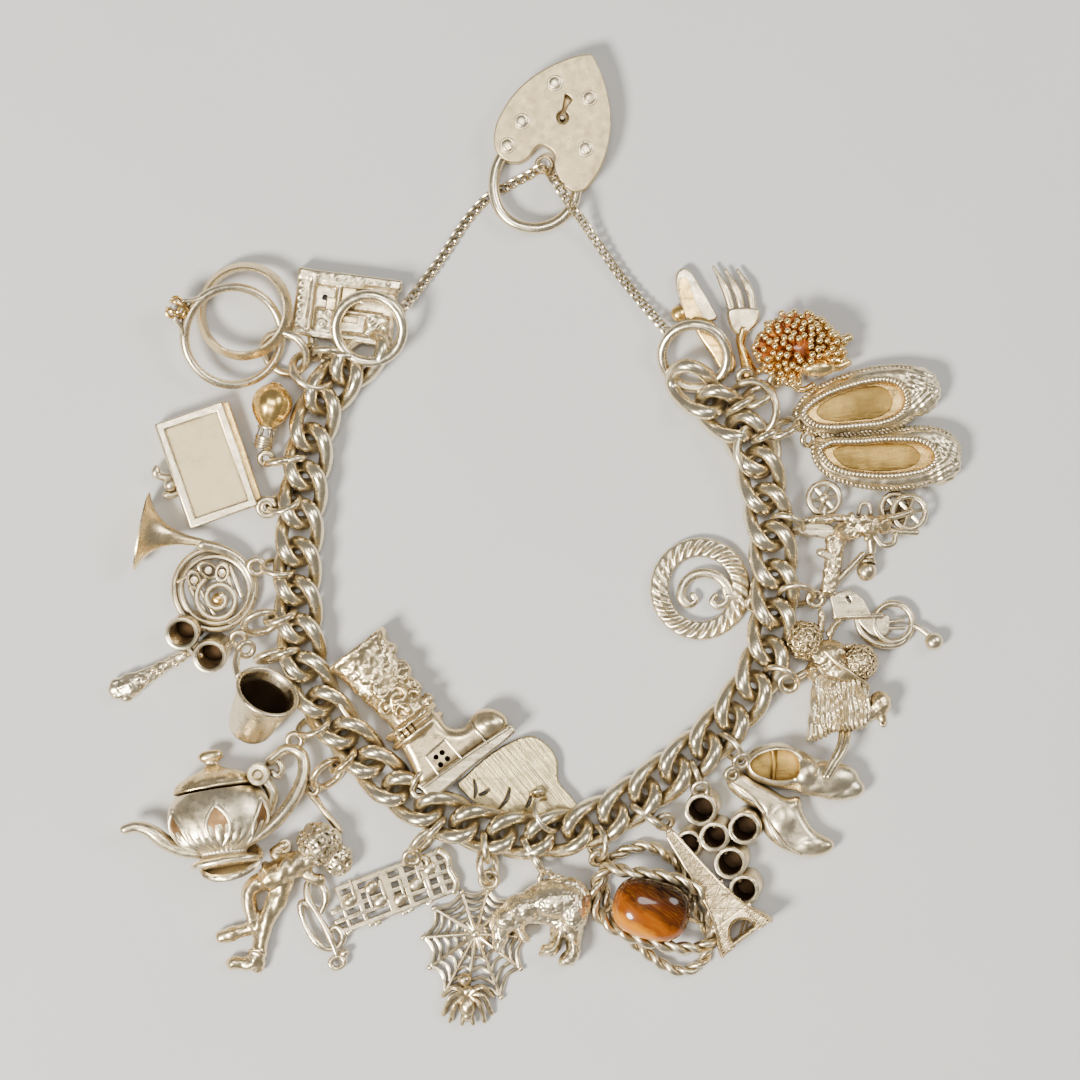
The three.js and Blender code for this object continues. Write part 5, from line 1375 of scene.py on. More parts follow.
def lattice_tower():
    """A tapering tower with crossed ribs on both faces and an arch at its foot."""
    wide = np.array([(4.35, 0.0), (4.1, 1.0), (3.2, 2.6), (2.65, 3.9), (2.05, 6.0), (1.6, 8.4),
                     (1.25, 11.0), (0.95, 13.6), (0.7, 16.0), (0.55, 17.6)])

    def half(y):
        return np.interp(y, wide[:, 1], wide[:, 0])

    outline = [(-w, y) for w, y in wide] + [(w, y) for w, y in wide[::-1]] + \
              [(2.5, 0.0), (2.0, 0.25)] + [(-2.0, 0.25), (-2.5, 0.0)]
    a = np.linspace(0, math.pi, 18)
    arch = np.stack([1.75 * np.cos(a), 0.9 + 1.9 * np.sin(a)], axis=1)
    core = plate(outline, -1, 1, 0.18, [arch])

    def deepen(part):
        v, f = part
        depth = 0.62 + 1.38 * np.clip(half(v[:, 1]) / wide[0, 0], 0, 1)
        return np.stack([v[:, 0], v[:, 1], v[:, 2] * depth], axis=1), f

    core = through_modifiers(core, fused(0.14))
    ribs = []
    y = 3.3
    while y < 16.6:
        step = max(0.7, half(y) * 0.95)
        for s in (-1, 1):
            ribs.append(tube([(-s * half(y) * 0.8, y, 1.0),
                              (s * half(y + step) * 0.8, y + step, 1.0)], 0.13, 6))
        ribs.append(tube([(-half(y), y, 1.0), (half(y), y, 1.0)], 0.12, 6))
        y += step
    for s in (-1, 1):
        ribs.append(tube([(s * half(t) * 0.92, t, 1.0) for t in np.linspace(0.1, 17.2, 40)], 0.2,
                         8))
        y = 0.2
        while y < 3.0:
            ribs.append(tube([(s * half(y) * 0.95, y, 1.0), (s * 2.0, y + 0.6, 1.0)], 0.12, 6))
            ribs.append(tube([(s * 2.0, y, 1.0), (s * half(y + 0.6) * 0.95, y + 0.6, 1.0)], 0.12,
                             6))
            y += 0.75
    ribs.append(tube(at_height(scaled_about(arch, (0, 0.9), 1.1), 1.0), 0.16, 8))
    for h, grow, tall in ((3.6, 0.35, 0.5), (8.2, 0.3, 0.45), (15.6, 0.2, 0.35)):
        ribs.append(block((2 * half(h) + 2 * grow, tall, 2.2), (0, h, 0), bevel=0.1))
    through = [tube([(-0.9, 0.7, 0.2), (1.5, 2.4, 0.2)], 0.14, 8),
               tube([(-0.4, 0.4, 0.2), (1.9, 2.0, 0.2)], 0.12, 8)]
    body = deepen(merge(pushed(core, lambda q: 0.05 * (pebbles(q, 0.34, 3) - 0.5)), *ribs,
                        *through))
    body = moved(body, (28.4, -52.9, 2.55), (0, 0, 36.5), (1, 1, 0.95))
    top = [tube([(18.6, -39.8, 2.6), (18.0, -38.6, 2.6)], 0.5, 12),
           eye((17.4, -37.4), 2.6, 1.05, 0.42, 20, 35), jump_ring((17.3, -38.2))]
    piece("lattice_tower_charm", body, WARM, ["lattice_tower"], sharp=50)
    piece("lattice_tower_loop", top, SILVER)


def tube_cluster():
    """Six short leaning tubes soldered together, with painted shade inside them."""
    rims, dark = [], []
    for x, y, r, top in ((22.2, -35.8, 2.2, 3.2), (28.0, -38.3, 2.2, 3.2), (24.0, -39.4, 2.05, 3.3),
                         (26.1, -42.9, 2.2, 3.2), (27.9, -46.5, 2.1, 3.2),
                         (20.6, -40.5, 1.95, 2.0)):
        prof = [(r - 0.62, 0.0), (r - 0.1, 0.0), (r, 0.12), (r, top - 0.2), (r - 0.1, top - 0.04),
                (r - 0.22, top), (r - 0.5, top), (r - 0.62, top - 0.12), (r - 0.64, top - 0.5)]

        def leaned(part, x=x, y=y, top=top):
            v, f = part
            down = 1 - v[:, 2] / top
            return np.stack([v[:, 0] + 0.75 * down, v[:, 1] + 0.8 * down, v[:, 2]], axis=1) \
                + np.array([x, y, 0.15]), f

        rims.append(uneven(leaned(band(prof, 64)), 0.03, 0.9, 5))
        # Painted shade: a dark floor and a dark inner wall in each tube.
        inner = revolve([(0, 0.05), (r - 0.66, 0.05), (r - 0.66, 0.2), (0, 0.2)], 40)
        dark.append(moved(inner, (x + 0.72, y + 0.76, 0.12)))
        wall = band([(r - 0.66, 0.1), (r - 0.66, top - 0.45), (r - 0.6, top - 0.45),
                     (r - 0.6, 0.1)], 48)
        dark.append(leaned(wall))
    solder = [tube([a, b], r, 10)
              for a, b, r in (((23.4, -37.1, 1.4), (24.1, -38.0, 1.4), 0.45),
                              ((25.9, -38.7, 1.4), (26.4, -38.6, 1.4), 0.5),
                              ((25.0, -40.9, 1.4), (25.5, -41.5, 1.4), 0.5),
                              ((27.0, -44.4, 1.4), (27.4, -45.2, 1.4), 0.5),
                              ((22.0, -40.0, 1.2), (22.6, -39.8, 1.2), 0.4))]
    hung = [eye((22.2, -33.0), 2.9, 1.0, 0.42, 0, 25), jump_ring((22.1, -32.2))]
    piece("tube_cluster_rims", [*rims, *solder, *hung], SILVER, ["tube_cluster"])
    piece("tube_cluster_painted_shade", dark, PAINTED_SHADE)


def pair_of_clogs():
    """One clog seen from above with its open heel, one lying on its side."""
    edge_a = [(28.0, -29.6), (29.1, -27.8), (31.0, -27.1), (33.0, -26.9), (35.2, -27.7),
              (37.6, -28.9), (41.2, -30.3), (43.4, -31.6), (43.9, -33.0), (42.4, -34.5),
              (39.2, -34.5), (35.4, -33.4), (31.3, -32.7), (28.6, -31.4)]
    shoe = cast([slab(edge_a, 120, 0.15, 3.0, 1.2, steps=5),
                 ball((38.6, -31.7, 2.1), (4.8, 2.5, 1.9), 40),
                 ball((42.2, -33.0, 1.9), (2.0, 1.5, 1.4), 28),
                 ball((36.2, -30.9, 2.4), (2.2, 2.3, 2.0), 32),
                 slab([(28.3, -29.6), (29.4, -28.1), (33.0, -27.2), (35.6, -28.4), (36.2, -31.4),
                       (33.2, -32.6), (30.8, -32.1), (28.7, -30.9)], 60, 1.5, 3.7, 0.4)], 0.2, 5)
    hollow = slab([(28.7, -29.7), (29.9, -28.4), (32.9, -27.7), (34.8, -28.4), (35.4, -30.0),
                   (35.0, -31.4), (33.2, -31.9), (31.0, -31.6), (29.1, -30.7)], 60, 0.9, 5.4, 0.25)
    shoe = cut(shoe, hollow)
    floor = slab([(28.6, -29.7), (29.9, -28.3), (32.9, -27.6), (34.9, -28.3), (35.6, -30.0),
                  (35.1, -31.5), (33.2, -32.0), (31.0, -31.7), (29.0, -30.7)], 60, 0.85, 1.05, 0.05)
    strap = tube([(31.9, -27.7, 1.35), (32.1, -29.6, 1.2), (31.9, -31.9, 1.35)], [0.35, 0.28, 0.35],
                 10)
    edge_b = [(25.6, -32.0), (26.2, -30.9), (27.6, -30.7), (29.3, -31.8), (31.4, -32.9),
              (33.8, -34.2), (35.4, -34.1), (35.9, -36.1), (37.5, -38.6), (40.0, -40.1),
              (40.1, -40.9), (39.1, -41.8), (36.4, -42.2), (33.8, -41.5), (31.4, -39.8),
              (30.2, -37.6), (30.0, -36.0), (28.4, -35.1), (26.6, -33.7)]
    other = cast([slab(edge_b, 130, 0.1, 2.9, 1.3, steps=6),
                  ball((33.2, -37.2, 1.9), (2.3, 2.9, 1.35), 32),
                  ball((36.6, -40.4, 1.8), (2.7, 1.5, 1.3), 28)], 0.2, 6)
    fold = rod([(30.7, -36.3, 2.7), (31.6, -38.2, 3.15), (33.4, -40.6, 2.9), (35.6, -41.8, 2.5)],
               26, np.concatenate([np.linspace(0.1, 0.34, 13), np.linspace(0.34, 0.1, 13)]), 10)
    ridge = rod([(26.4, -32.2, 2.7), (28.4, -33.6, 3.0), (30.7, -36.3, 2.8)], 18, 0.22, 10)
    hung = [eye((27.6, -29.3), 3.4, 0.95, 0.42, 30, 30), jump_ring((27.4, -29.2)),
            eye((26.3, -31.0), 3.3, 0.8, 0.38, 60, 30)]
    piece("clogs_pair",
          [uneven(shoe, 0.015, 2.5, 3), uneven(merge(other, fold, ridge), 0.015, 2.5, 7), *hung],
          SILVER, ["clogs"], sharp=60)
    piece("clog_inside", [floor, strap], WORN_LINING)


def shaggy_bird():
    """A bird-like charm: two curly lumps, a striated body, a small head and long legs."""
    curly = [((36.0, -13.2, 2.6), (2.4, 2.5, 2.3), 30, 0.42),
             ((43.2, -16.2, 2.6), (2.5, 2.4, 2.2), 34, 0.36)]
    curls = [moved(ring(size, 0.19, 8, 18), np.array(centre) + d * np.array(radii),
                   (0, math.degrees(math.acos(h)), math.degrees(a)))
             for centre, radii, count, size in curly for d, h, a in dome(count, 0.12, 0.86)]
    middle = [ball((39.2, -15.3, 2.6), (2.8, 2.2, 2.2), 24),
              ball((37.6, -17.3, 2.3), (1.5, 1.6, 1.7), 20),
              ball((41.0, -17.4, 2.7), (3.2, 1.6, 2.1), 24)]
    lumps = [ball((RNG.uniform(36.8, 42.0), RNG.uniform(-17.4, -13.6), 4.2), (0.5, 0.42, 0.45), 12)
             for _ in range(26)]
    skirt = slab([(37.6, -17.4), (37.0, -20.4), (36.6, -23.6), (36.5, -26.6), (38.6, -26.2),
                  (39.7, -25.5), (42.8, -25.2), (44.4, -24.6), (45.2, -22.4), (44.8, -20.2),
                  (43.8, -17.8), (40.6, -16.8)], 90, 0.3, 3.9, 1.2, steps=4)
    skirt = through_modifiers(skirt, fused(0.13), softened(4))

    def strands(q):
        across = q[:, 0] + 0.08 * q[:, 1] + 0.35 * noise(q, 1.6, 4)
        return 0.15 * np.sin(across * 2 * math.pi / 0.62) + 0.06 * noise(q, 0.35, 7)

    skirt = pushed(skirt, strands)
    seam = rod([(38.6, -14.6, 4.6), (40.2, -16.2, 4.8), (42.2, -17.6, 4.6), (44.4, -19.2, 3.8)], 24,
               0.28, 10)
    head = [ball((46.1, -21.6, 2.7), (1.5, 1.7, 1.4), 28),
            ball((44.8, -22.8, 2.5), (1.3, 1.2, 1.2), 20),
            tube([(46.2, -22.8, 2.8), (46.5, -23.9, 2.6), (46.6, -24.4, 2.4)], [0.75, 0.6, 0.35],
                 14)]
    bill = moved(ring(0.5, 0.22, 8, 24), (46.5, -24.0, 2.9), scale=(0.8, 1.2, 1))
    legs = []
    for s in (0.0, 0.75):
        legs.append(rod([(41.2 + s, -25.0, 2.2), (40.7 + s, -27.2, 3.6),
                         (39.8 + s * 0.8, -29.0, 4.5), (38.6 + s * 0.7, -31.2, 4.5)], 26, 0.48, 12))
    legs.append(ball((39.1, -31.0, 4.4), (0.85, 0.6, 0.5), 16))
    spikes = [tube([(38.2, -11.9, 2.9), (38.3, -10.4, 2.9), (38.1, -8.9, 2.9)], [0.5, 0.5, 0.26],
                   12), tube([(39.4, -12.4, 2.9), (39.9, -11.4, 2.9), (40.6, -10.7, 2.9)],
                             [0.55, 0.5, 0.4], 12)]
    round_ends = [ball(centre, radii, 28) for centre, radii, *_ in curly]
    core = uneven(cast([*round_ends, *middle, *lumps, *head, *spikes], 0.18, 2), 0.09, 0.5, 9)
    hung = [eye((33.9, -18.9), 2.7, 1.15, 0.45, 0, 20), jump_ring((34.9, -19)),
            tube([(34.9, -18.2, 2.7), (36.8, -17.2, 2.6)], 0.5, 12)]
    piece("bird_curls", [core, *curls, seam], WARM, ["shaggy_bird"], sharp=60)
    piece("bird_feathers", [skirt, *legs, bill, *hung], SILVER, sharp=60)


def treble_clef():
    """A flat clef on its side: pierced blade, hoop with bars, and a ball at its tail."""
    blade = slab([(39.6, -7.2), (39.8, -8.8), (40.2, -10.3), (42.6, -10.25), (45.0, -10.2),
                  (44.6, -8.9), (43.6, -7.4), (42.0, -6.6), (40.8, -6.8)], 90, 0.5, 1.5, 0.2,
                 [spline([(41.7, -7.5), (41.95, -7.4), (42.3, -8.1), (42.1, -8.2)], 16,
                         closed=True)])
    bulb = slab([(43.2, -10.4), (44.6, -10.0), (46.4, -9.7), (47.4, -10.0), (47.6, -11.2),
                 (47.2, -12.6), (46.0, -12.9), (44.7, -12.3)], 60, 0.45, 1.35, 0.25)
    hoop = moved(ring(2.55, 0.46, 12, 64), (48.0, -10.9, 1.0))
    sweep = rod([(43.0, -10.4, 1.0), (43.6, -12.0, 1.0), (45.0, -13.4, 1.0), (47.2, -14.0, 1.0),
                 (49.2, -13.6, 1.0), (50.4, -12.2, 1.0)], 50,
                0.3 + 0.2 * np.sin(np.linspace(0.2, math.pi - 0.2, 50)), 12)
    stem = tube([(40.2, -10.15, 1.1), (46.4, -10.0, 1.3)], [0.36, 0.4], 12)
    bars = [tube([(46.8, -10.9, 1.1), (49.2, -10.6, 1.1)], 0.3, 10),
            tube([(46.8, -11.7, 1.1), (49.4, -11.6, 1.1)], 0.28, 10)]
    tail = [rod([(50.4, -11.2, 1.0), (51.4, -11.6, 1.1), (52.6, -12.5, 1.3)], 20, 0.42, 12),
            ball((53.4, -13.4, 1.5), (1.25, 1.2, 1.1), 24)]
    hook = rod([(38.3, -7.5, 1.2), (39.0, -6.9, 1.2), (40.0, -7.0, 1.2)], 16, 0.5, 12)
    hung = [eye((37.6, -7.7), 1.5, 1.0, 0.42, 0, 15), jump_ring((37.2, -7.3))]
    piece("treble_clef_charm", [uneven(merge(blade, bulb, hoop, sweep, stem, *bars, *tail, hook),
                                       0.02, 0.9, 4), *hung], SILVER, ["treble_clef"])


def spiral_disc():
    """A ridged ring round an open scroll."""
    prof = [(4.3, 0.5), (4.45, 0.3), (6.6, 0.3), (6.85, 0.55), (6.85, 0.95), (6.6, 1.2),
            (5.6, 1.45), (4.5, 1.2), (4.3, 1.0)]
    hoop = band(finer([*prof, prof[0]], 0.16), 260)

    def ridges(q):
        r, a = np.hypot(q[:, 0], q[:, 1]), np.arctan2(q[:, 1], q[:, 0])
        across = np.clip(1.15 - np.abs(r - 5.6) / 1.1, 0, 1) * (q[:, 2] > 0.8)
        return 0.2 * across * np.sin(26 * a + 3.4 * (r - 5.6)) + 0.02 * noise(q, 0.9, 2)

    hoop = moved(pushed(hoop, ridges), (22.2, -6.4, 0.1), scale=(0.98, 1.0, 1))
    arch = [(26.3, -7.4, 1.0), (25.7, -5.9, 1.0), (24.4, -4.7, 1.0), (22.6, -4.3, 1.0),
            (20.8, -4.9, 1.0), (19.8, -6.3, 1.0), (19.8, -7.8, 1.0), (20.8, -8.5, 1.0),
            (21.6, -7.9, 1.0), (21.2, -7.2, 1.0)]
    other = [(25.6, -6.2, 1.0), (25.8, -7.9, 1.0), (24.7, -8.7, 1.0), (23.8, -8.1, 1.0),
             (24.2, -7.3, 1.0)]
    inner = [rod(arch, 110, np.concatenate([np.full(80, 0.66), np.linspace(0.66, 0.42, 30)]), 14,
                 flat=0.62), rod(other, 60, np.linspace(0.62, 0.42, 60), 14, flat=0.62),
             tube([(25.9, -7.3, 1.0), (27.2, -7.6, 0.9)], 0.5, 12)]
    hung = [eye((29.7, -8.3), 1.6, 1.1, 0.42, 20, 25), jump_ring((30.1, -8.4)),
            tube([(28.4, -8.0, 1.1), (29.0, -8.1, 1.2)], 0.5, 12)]
    piece("spiral_disc_charm", [hoop, *inner, *hung], SILVER, ["spiral_disc"], sharp=60)


# ---------------------------------------------------------------- charms, upper right

def little_tricycle():
    """Three spoked wheels, thin frame wires, a lumpy rider's seat and a small ball drop."""
    parts, gold = [], []
    for x, y, r, z in ((38.7, 5.7, 2.05, 1.9), (50.0, 3.8, 2.15, 2.4), (48.3, 4.4, 1.9, 1.3)):
        parts.append(moved(ring(r, 0.42, 12, 48), (x, y, z)))
        parts.append(ball((x, y, z), (0.75, 0.75, 0.6), 16))
        parts += [tube([(x, y, z), (x + (r - 0.1) * math.cos(a), y + (r - 0.1) * math.sin(a), z)],
                       0.28, 8) for a in (math.pi * k / 3 + 0.2 for k in range(6))]
    wing = slab([(34.3, 1.5), (36.0, 2.4), (38.4, 2.6), (40.6, 1.4), (40.4, 0.4), (37.4, 0.5)], 60,
                1.7, 2.7, 0.4, steps=3)
    parts.append(wing)
    for pts, r in (([(38.6, 4.4, 2.0), (38.6, 2.6, 2.4)], 0.45),
                   ([(39.0, 3.1, 2.5), (41.6, 3.0, 2.8), (43.6, 2.6, 3.0)], 0.5),
                   ([(47.0, 1.6, 2.4), (49.0, 1.2, 2.4), (51.0, 1.1, 2.2)], 0.42),
                   ([(46.0, 3.0, 2.8), (48.0, 3.2, 2.8), (50.0, 3.8, 2.8)], 0.42),
                   ([(43.8, -1.8, 2.4), (41.4, -4.4, 2.2), (38.4, -7.3, 1.8)], 0.45),
                   ([(43.2, 3.6, 3.0), (43.6, 4.9, 3.0), (44.6, 4.9, 3.0), (44.8, 3.6, 3.0)], 0.3),
                   ([(45.0, 1.2, 3.2), (46.4, -0.6, 3.0), (47.9, -0.3, 2.8), (48.2, 0.9, 2.8)],
                    0.38), ([(44.8, 0.8, 3.0), (45.0, -1.2, 2.6)], 0.6),
                   ([(38.2, -1.5, 2.3), (39.6, -2.1, 2.3)], 0.6)):
        parts.append(rod(pts, 22, r, 12))
    fork = slab([(39.0, 0.9), (41.6, 0.9), (41.2, -1.6), (40.8, -4.4), (39.9, -7.0), (38.5, -7.0),
                 (38.5, -4.4), (38.9, -1.6)], 70, 1.4, 2.9, 0.6, steps=3)
    gold += [fork, ball((41.8, 1.4, 3.0), (1.9, 1.3, 1.2), 24),
             ball((44.4, 2.0, 3.2), (1.9, 1.5, 1.3), 24),
             ball((46.4, 2.2, 3.0), (1.3, 1.3, 1.1), 22),
             ball((38.4, 2.9, 2.9), (2.0, 0.6, 0.6), 18)]
    gold += [ball((RNG.uniform(40.4, 47.4), RNG.uniform(0.2, 3.6), 3.9), (0.5, 0.42, 0.45), 12)
             for k in range(22)]
    gold = cast(gold, 0.16, 1)
    drop = [ball((44.4, -4.0, 1.5), (1.35, 1.4, 1.3), 28),
            ball((44.8, -2.2, 1.7), (0.75, 0.6, 0.6), 16),
            moved(ring(0.95, 0.2, 8, 28), (44.6, -2.9, 1.6), (70, 0, 0))]
    hung = [eye((36.6, 1.9), 2.1, 1.0, 0.42, 0, 20), jump_ring((35.8, 1.5))]
    piece("tricycle_frame", [uneven(merge(*parts), 0.035, 0.6, 14), *drop, *hung], SILVER,
          ["tricycle"])
    piece("tricycle_gilding", uneven(gold, 0.12, 0.45, 3), WARM)


def pair_of_slippers():
    """Two woven slippers with rope edges, gilt linings and worn insoles."""
    slippers = [
        ("slipper_upper", (43.0, 18.2), 12, ["slippers"],
         [(35.0, 17.0), (36.2, 19.2), (39.3, 21.0), (43.0, 22.4), (46.8, 23.1), (50.3, 23.0),
          (52.7, 22.0), (53.4, 20.4), (52.2, 18.6), (50.0, 16.2), (48.0, 15.1), (43.0, 14.5),
          (38.7, 14.2), (36.2, 15.0)],
         [(35.9, 17.2), (38.2, 19.2), (42.6, 20.9), (45.9, 21.5), (48.4, 21.1), (49.6, 19.4),
          (49.2, 17.3), (46.8, 15.9), (43.0, 15.4), (39.0, 15.2), (36.7, 15.8)]),
        ("slipper_lower", (45.6, 11.2), -3, [],
         [(37.2, 12.4), (38.2, 9.7), (41.6, 7.9), (45.9, 7.1), (50.3, 7.3), (54.0, 8.4),
          (56.4, 10.7), (56.5, 13.0), (54.6, 14.5), (51.7, 15.0), (47.4, 14.5), (43.0, 14.1),
          (39.3, 13.9), (37.7, 13.5)],
         [(38.0, 12.2), (39.4, 13.1), (43.0, 13.3), (48.8, 13.6), (52.2, 13.1), (53.7, 11.4),
          (52.8, 9.9), (48.8, 8.8), (43.0, 8.9), (39.6, 9.9)])]
    for name, centre, turn, nodes, edge, hole in slippers:
        outer = spline(edge, 150, closed=True)
        inner = spline(hole, 110, closed=True)
        shell = plate(outer, 0.1, 3.6, 1.1, steps=5)
        a = math.radians(turn)
        toe = np.array([centre[0] + 8.4 * math.cos(a), centre[1] + 8.4 * math.sin(a)])
        cap = ball((*toe, 2.3), (3.0, 3.3, 1.75), 36)
        knob = [ball((*(toe + np.array([2.0 * math.cos(a), 2.0 * math.sin(a)])), 2.6),
                     (0.9, 0.9, 0.8), 18)]
        body = cut(cast([shell, cap, *knob], 0.18, 3), plate(inner, 0.9, 6.0, 0.2))
        at_toe = np.array([toe[0] + 0.6, toe[1]])

        def weave(q, at_toe=at_toe, a=a):
            near = np.exp(-(np.hypot(q[:, 0] - at_toe[0], q[:, 1] - at_toe[1]) / 3.4) ** 4)
            side = (1 - near) * (q[:, 2] < 3.0)
            turned = (q[:, 0] - at_toe[0]) * math.cos(a) + (q[:, 1] - at_toe[1]) * math.sin(a)
            across = (q[:, 1] - at_toe[1]) * math.cos(a) - (q[:, 0] - at_toe[0]) * math.sin(a)
            knots = np.sin(turned * 4.6 + np.abs(across) * 3.2) * np.sin(across * 4.4)
            ribs = 0.09 * side * np.sin(4.2 * q[:, 2] + 2.4 * q[:, 0])
            return 0.16 * near * knots + ribs + 0.03 * noise(q, 0.7, 3)

        body = pushed(body, weave)
        trim = rope(at_height(inner, 3.72)[::6], 0.5, count=300, turns=34)
        hem = rope(at_height(scaled_about(outer, centre, 0.985), 2.3)[::8], 0.5, count=320,
                   turns=38)
        piece(name, [body, *trim, *hem], SILVER, nodes, sharp=60)
        lining = plate(scaled_about(inner, centre, 1.02), 0.85, 1.05, 0.05)
        sole = plate(scaled_about(inner, centre, 0.74), 1.0, 1.22, 0.1)
        wall = np.concatenate([at_height(scaled_about(inner, centre, 0.995), z)
                               for z in (0.9, 1.8, 2.7, 3.55)])
        n = len(inner)
        faces = [(r * n + k, (r + 1) * n + k, (r + 1) * n + (k + 1) % n, r * n + (k + 1) % n)
                 for r in range(3) for k in range(n)]
        piece(name + "_gilt_lining", [uneven(lining, 0.03, 1.2, 4), (wall, faces)], GILT)
        piece(name + "_insole", uneven(sole, 0.03, 0.9, 8), WORN_LINING)
    hung = [eye((35.8, 15.7), 2.2, 0.95, 0.42, 30, 30), jump_ring((35, 15.9)),
            eye((36.6, 13.6), 2.0, 0.9, 0.4, 70, 30), ball((35.2, 17.2, 2.0), (0.8, 0.9, 0.8), 16)]
    piece("slipper_loops", hung, CHAIN_SILVER)


def enamel_hedgehog():
    """An enamelled animal whose spines end in gilt beads, gilt where it is not red."""
    centre, radii = np.array([35.4, 25.5, 2.9]), np.array([3.9, 2.7, 2.2])
    body = ball(centre, radii, 40)
    spines, gilded, tips = [], [], []
    for d, h, _ in dome(132, -0.12, 1.1, 0.985):
        if d[0] > 0.0 and d[1] < -0.4 and h < 0.8:
            continue
        root = centre + d * radii
        out = d / radii
        out /= np.linalg.norm(out)
        out = out * 0.6 + d * 0.4 + np.array([RNG.uniform(-0.12, 0.12), RNG.uniform(-0.12, 0.12),
                                              0])
        far = root + out * RNG.uniform(1.6, 2.3) * (1 if h < 0.6 else 0.72)
        far[2] = min(far[2], 6.6)
        red = d[0] < 0.2 and d[1] > -0.25
        (spines if red else gilded).append(tube([root - out * 0.3, far], [0.5, 0.4], 10))
        tips.append(ball(far + out * 0.05, 0.48, 12))
    belly = ball((37.6, 23.1, 3.6), (2.5, 1.3, 1.6), 28)
    face = [rod([(39.2, 26.0, 3.2), (40.6, 26.6, 3.1), (41.8, 27.0, 3.0)], 14,
                np.linspace(1.1, 0.55, 14), 16), ball((41.9, 27.1, 3.0), (0.65, 0.6, 0.55), 16),
            tube([(39.6, 23.2, 2.8), (40.8, 23.3, 2.5), (41.9, 23.8, 2.3)], [0.7, 0.6, 0.5], 14)]
    feet = [rod([(34.6, 21.2, 2.4), (35.0, 20.3, 2.2), (36.0, 20.2, 2.0), (37.2, 20.8, 1.9)], 18,
                0.42, 12),
            rod([(32.4, 21.6, 2.4), (32.0, 20.6, 2.2), (31.4, 20.2, 2.0)], 12, 0.4, 12)]
    hung = [eye((32.3, 21.4), 3.0, 0.95, 0.42, 40, 35), jump_ring((31.6, 20.4))]
    piece("hedgehog_body", uneven(merge(body, *spines), 0.03, 0.5, 6), ENAMEL, ["hedgehog"])
    piece("hedgehog_spine_tips", tips, BRIGHT_GILT)
    piece("hedgehog_gilt_parts", uneven(merge(belly, *face, *feet, *gilded), 0.04, 0.6, 2),
          BRIGHT_GILT)
    piece("hedgehog_loop", hung, SILVER)


def knife_and_fork():
    """A table knife and a fork, gilt at the grips and along the blade's edge."""
    blade = slab([(19.6, 36.4), (19.0, 35.7), (18.9, 34.2), (19.4, 32.2), (20.3, 29.7),
                  (22.2, 29.2), (24.4, 29.7), (23.6, 31.6), (22.2, 34.0), (20.9, 36.0),
                  (20.2, 36.5)], 90, 0.55, 1.5, 0.3, steps=3)
    gilt_edge = slab([(19.45, 35.0), (19.3, 34.1), (19.6, 32.2), (20.5, 29.8), (22.5, 29.5),
                      (21.6, 31.9), (20.8, 34.2), (20.2, 35.2)], 60, 1.38, 1.6, 0.1)
    grip = slab([(21.0, 29.7), (23.7, 29.4), (25.4, 27.0), (26.9, 24.0), (26.6, 22.6), (25.2, 22.6),
                 (23.6, 25.0), (21.8, 27.6)], 60, 0.6, 2.0, 0.4, steps=3)
    tines = []
    for tip, root, bend in (((24.0, 36.6), (26.6, 30.2), 0.28), ((25.6, 36.2), (27.9, 30.2), 0.34),
                            ((27.2, 36.2), (29.4, 30.2), 0.5)):
        mid = ((tip[0] + root[0]) / 2 + bend, (tip[1] + root[1]) / 2 + 0.2)
        line = spline([(*tip, 1.0), (*mid, 1.2), (*root, 1.1)], 26)
        tines.append(tube(line, np.concatenate([np.linspace(0.22, 0.5, 10), np.full(16, 0.52)]), 12,
                          flat=0.75))
    head = slab([(25.9, 30.9), (30.0, 30.9), (29.9, 29.2), (28.9, 28.0), (27.9, 27.3), (26.9, 27.6),
                 (26.1, 28.8)], 60, 0.7, 1.6, 0.35, steps=3)
    neck = rod([(27.9, 28.2, 1.2), (27.6, 26.4, 1.3), (28.2, 24.6, 1.3), (28.8, 22.4, 1.3)], 30,
               np.concatenate([np.linspace(0.75, 0.55, 12), np.linspace(0.55, 1.1, 18)]), 16,
               flat=0.7)
    knob = ball((19.4, 30.4, 1.0), (1.1, 1.1, 0.8), 20)
    hung = [eye((28.2, 22.0), 2.0, 0.95, 0.42, 20, 30), jump_ring((28.5, 21.3))]
    piece("knife_and_fork_charm", [uneven(merge(blade, *tines, head), 0.02, 1.2, 6), *hung], SILVER,
          ["knife_and_fork"])
    piece("cutlery_gilding", uneven(merge(gilt_edge, grip, neck, knob), 0.03, 0.8, 3), GILT)


# ---------------------------------------------------------------- everything, in one order

# The order matters: each charm takes the nearest link that is still free, and several draw
# from the one random sequence.
for build in (chain, end_rings, safety_chain, padlock, ring_pair, piano, hot_air_balloon,
              closed_book, french_horn, opera_glasses, thimble, teapot, little_figure, music_stave,
              heeled_boot, elephant_plate, spider_web, walking_bear, rope_cage_and_stone,
              lattice_tower, tube_cluster, pair_of_clogs, shaggy_bird, treble_clef, spiral_disc,
              little_tricycle, pair_of_slippers, enamel_hedgehog, knife_and_fork):
    build()


# ---------------------------------------------------------------- floor, light, camera

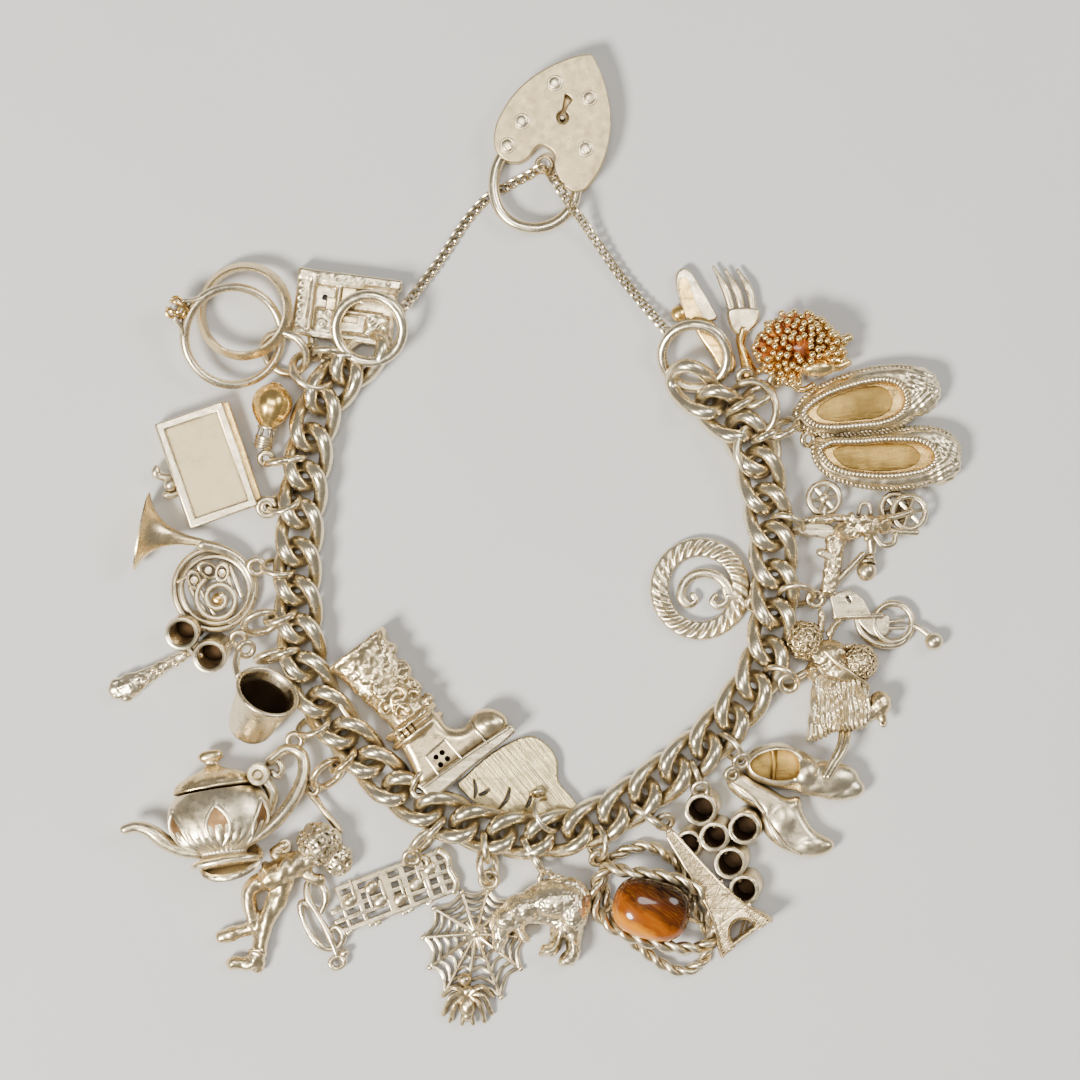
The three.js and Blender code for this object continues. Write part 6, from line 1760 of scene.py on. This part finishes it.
FLOOR_HALF = 1.5
VIEW_DISTANCE = 0.55
VIEW_HALF_WIDTH = 0.072
VIEW_CENTRE = (0.8, 0.13)
VIEW_HEIGHT = 0.0022
# Each lamp: name, place, diameter, power in watts, colour.
LAMPS = [("key", (-0.42, -0.34, 0.62), 0.24, 13.0, (1.0, 0.97, 0.91)),
         ("fill", (0.55, 0.30, 0.65), 0.40, 3.4, (0.97, 0.98, 1.0)),
         ("top", (-0.05, 0.15, 0.95), 0.30, 2.5, (1.0, 0.98, 0.95))]


def pale_sheet():
    """The plain floor that everything lies on."""
    s = FLOOR_HALF
    mesh = as_mesh("pale_floor", ([(-s, -s, 0), (s, -s, 0), (s, s, 0), (-s, s, 0)], [(0, 1, 2, 3)]))
    m, tree, shader, where = new_material("pale_floor")
    cloud = grain(tree, where, 40, 3)
    fill_inputs(tree, shader,
                {"Base Color": blend(tree, cloud, (0.62, 0.61, 0.59), (0.66, 0.65, 0.63)),
                 "Roughness": 0.75})
    mesh.materials.append(m)
    floor = shown("pale_floor", mesh)


def light():
    """A soft pale world and three round lamps."""
    world = bpy.data.worlds.new("studio")
    world.use_nodes = True
    fill_inputs(world.node_tree, world.node_tree.nodes["Background"],
                {"Color": (1.0, 0.98, 0.95, 1), "Strength": 0.25})
    bpy.context.scene.world = world
    for name, place, size, power, colour in LAMPS:
        data = bpy.data.lights.new(name, "AREA")
        data.shape = "DISK"
        data.size = size
        data.energy = power
        data.color = colour
        ob = shown(name, data)
        ob.location = place
        ob.rotation_euler = (-Vector(place)).to_track_quat("-Z", "Y").to_euler()


def camera():
    """Straight above the middle of the photo's view, with no depth of field."""
    view = bpy.data.cameras.new("camera")
    view.sensor_fit = "HORIZONTAL"
    view.angle = 2 * math.atan(VIEW_HALF_WIDTH / VIEW_DISTANCE)
    view.clip_start = 0.01
    ob = shown("camera", view)
    x, y = (np.array(VIEW_CENTRE) + SHIFT[:2]) * MM
    ob.location = (x, y, VIEW_DISTANCE + VIEW_HEIGHT)
    bpy.context.scene.camera = ob


pale_sheet()
light()
camera()
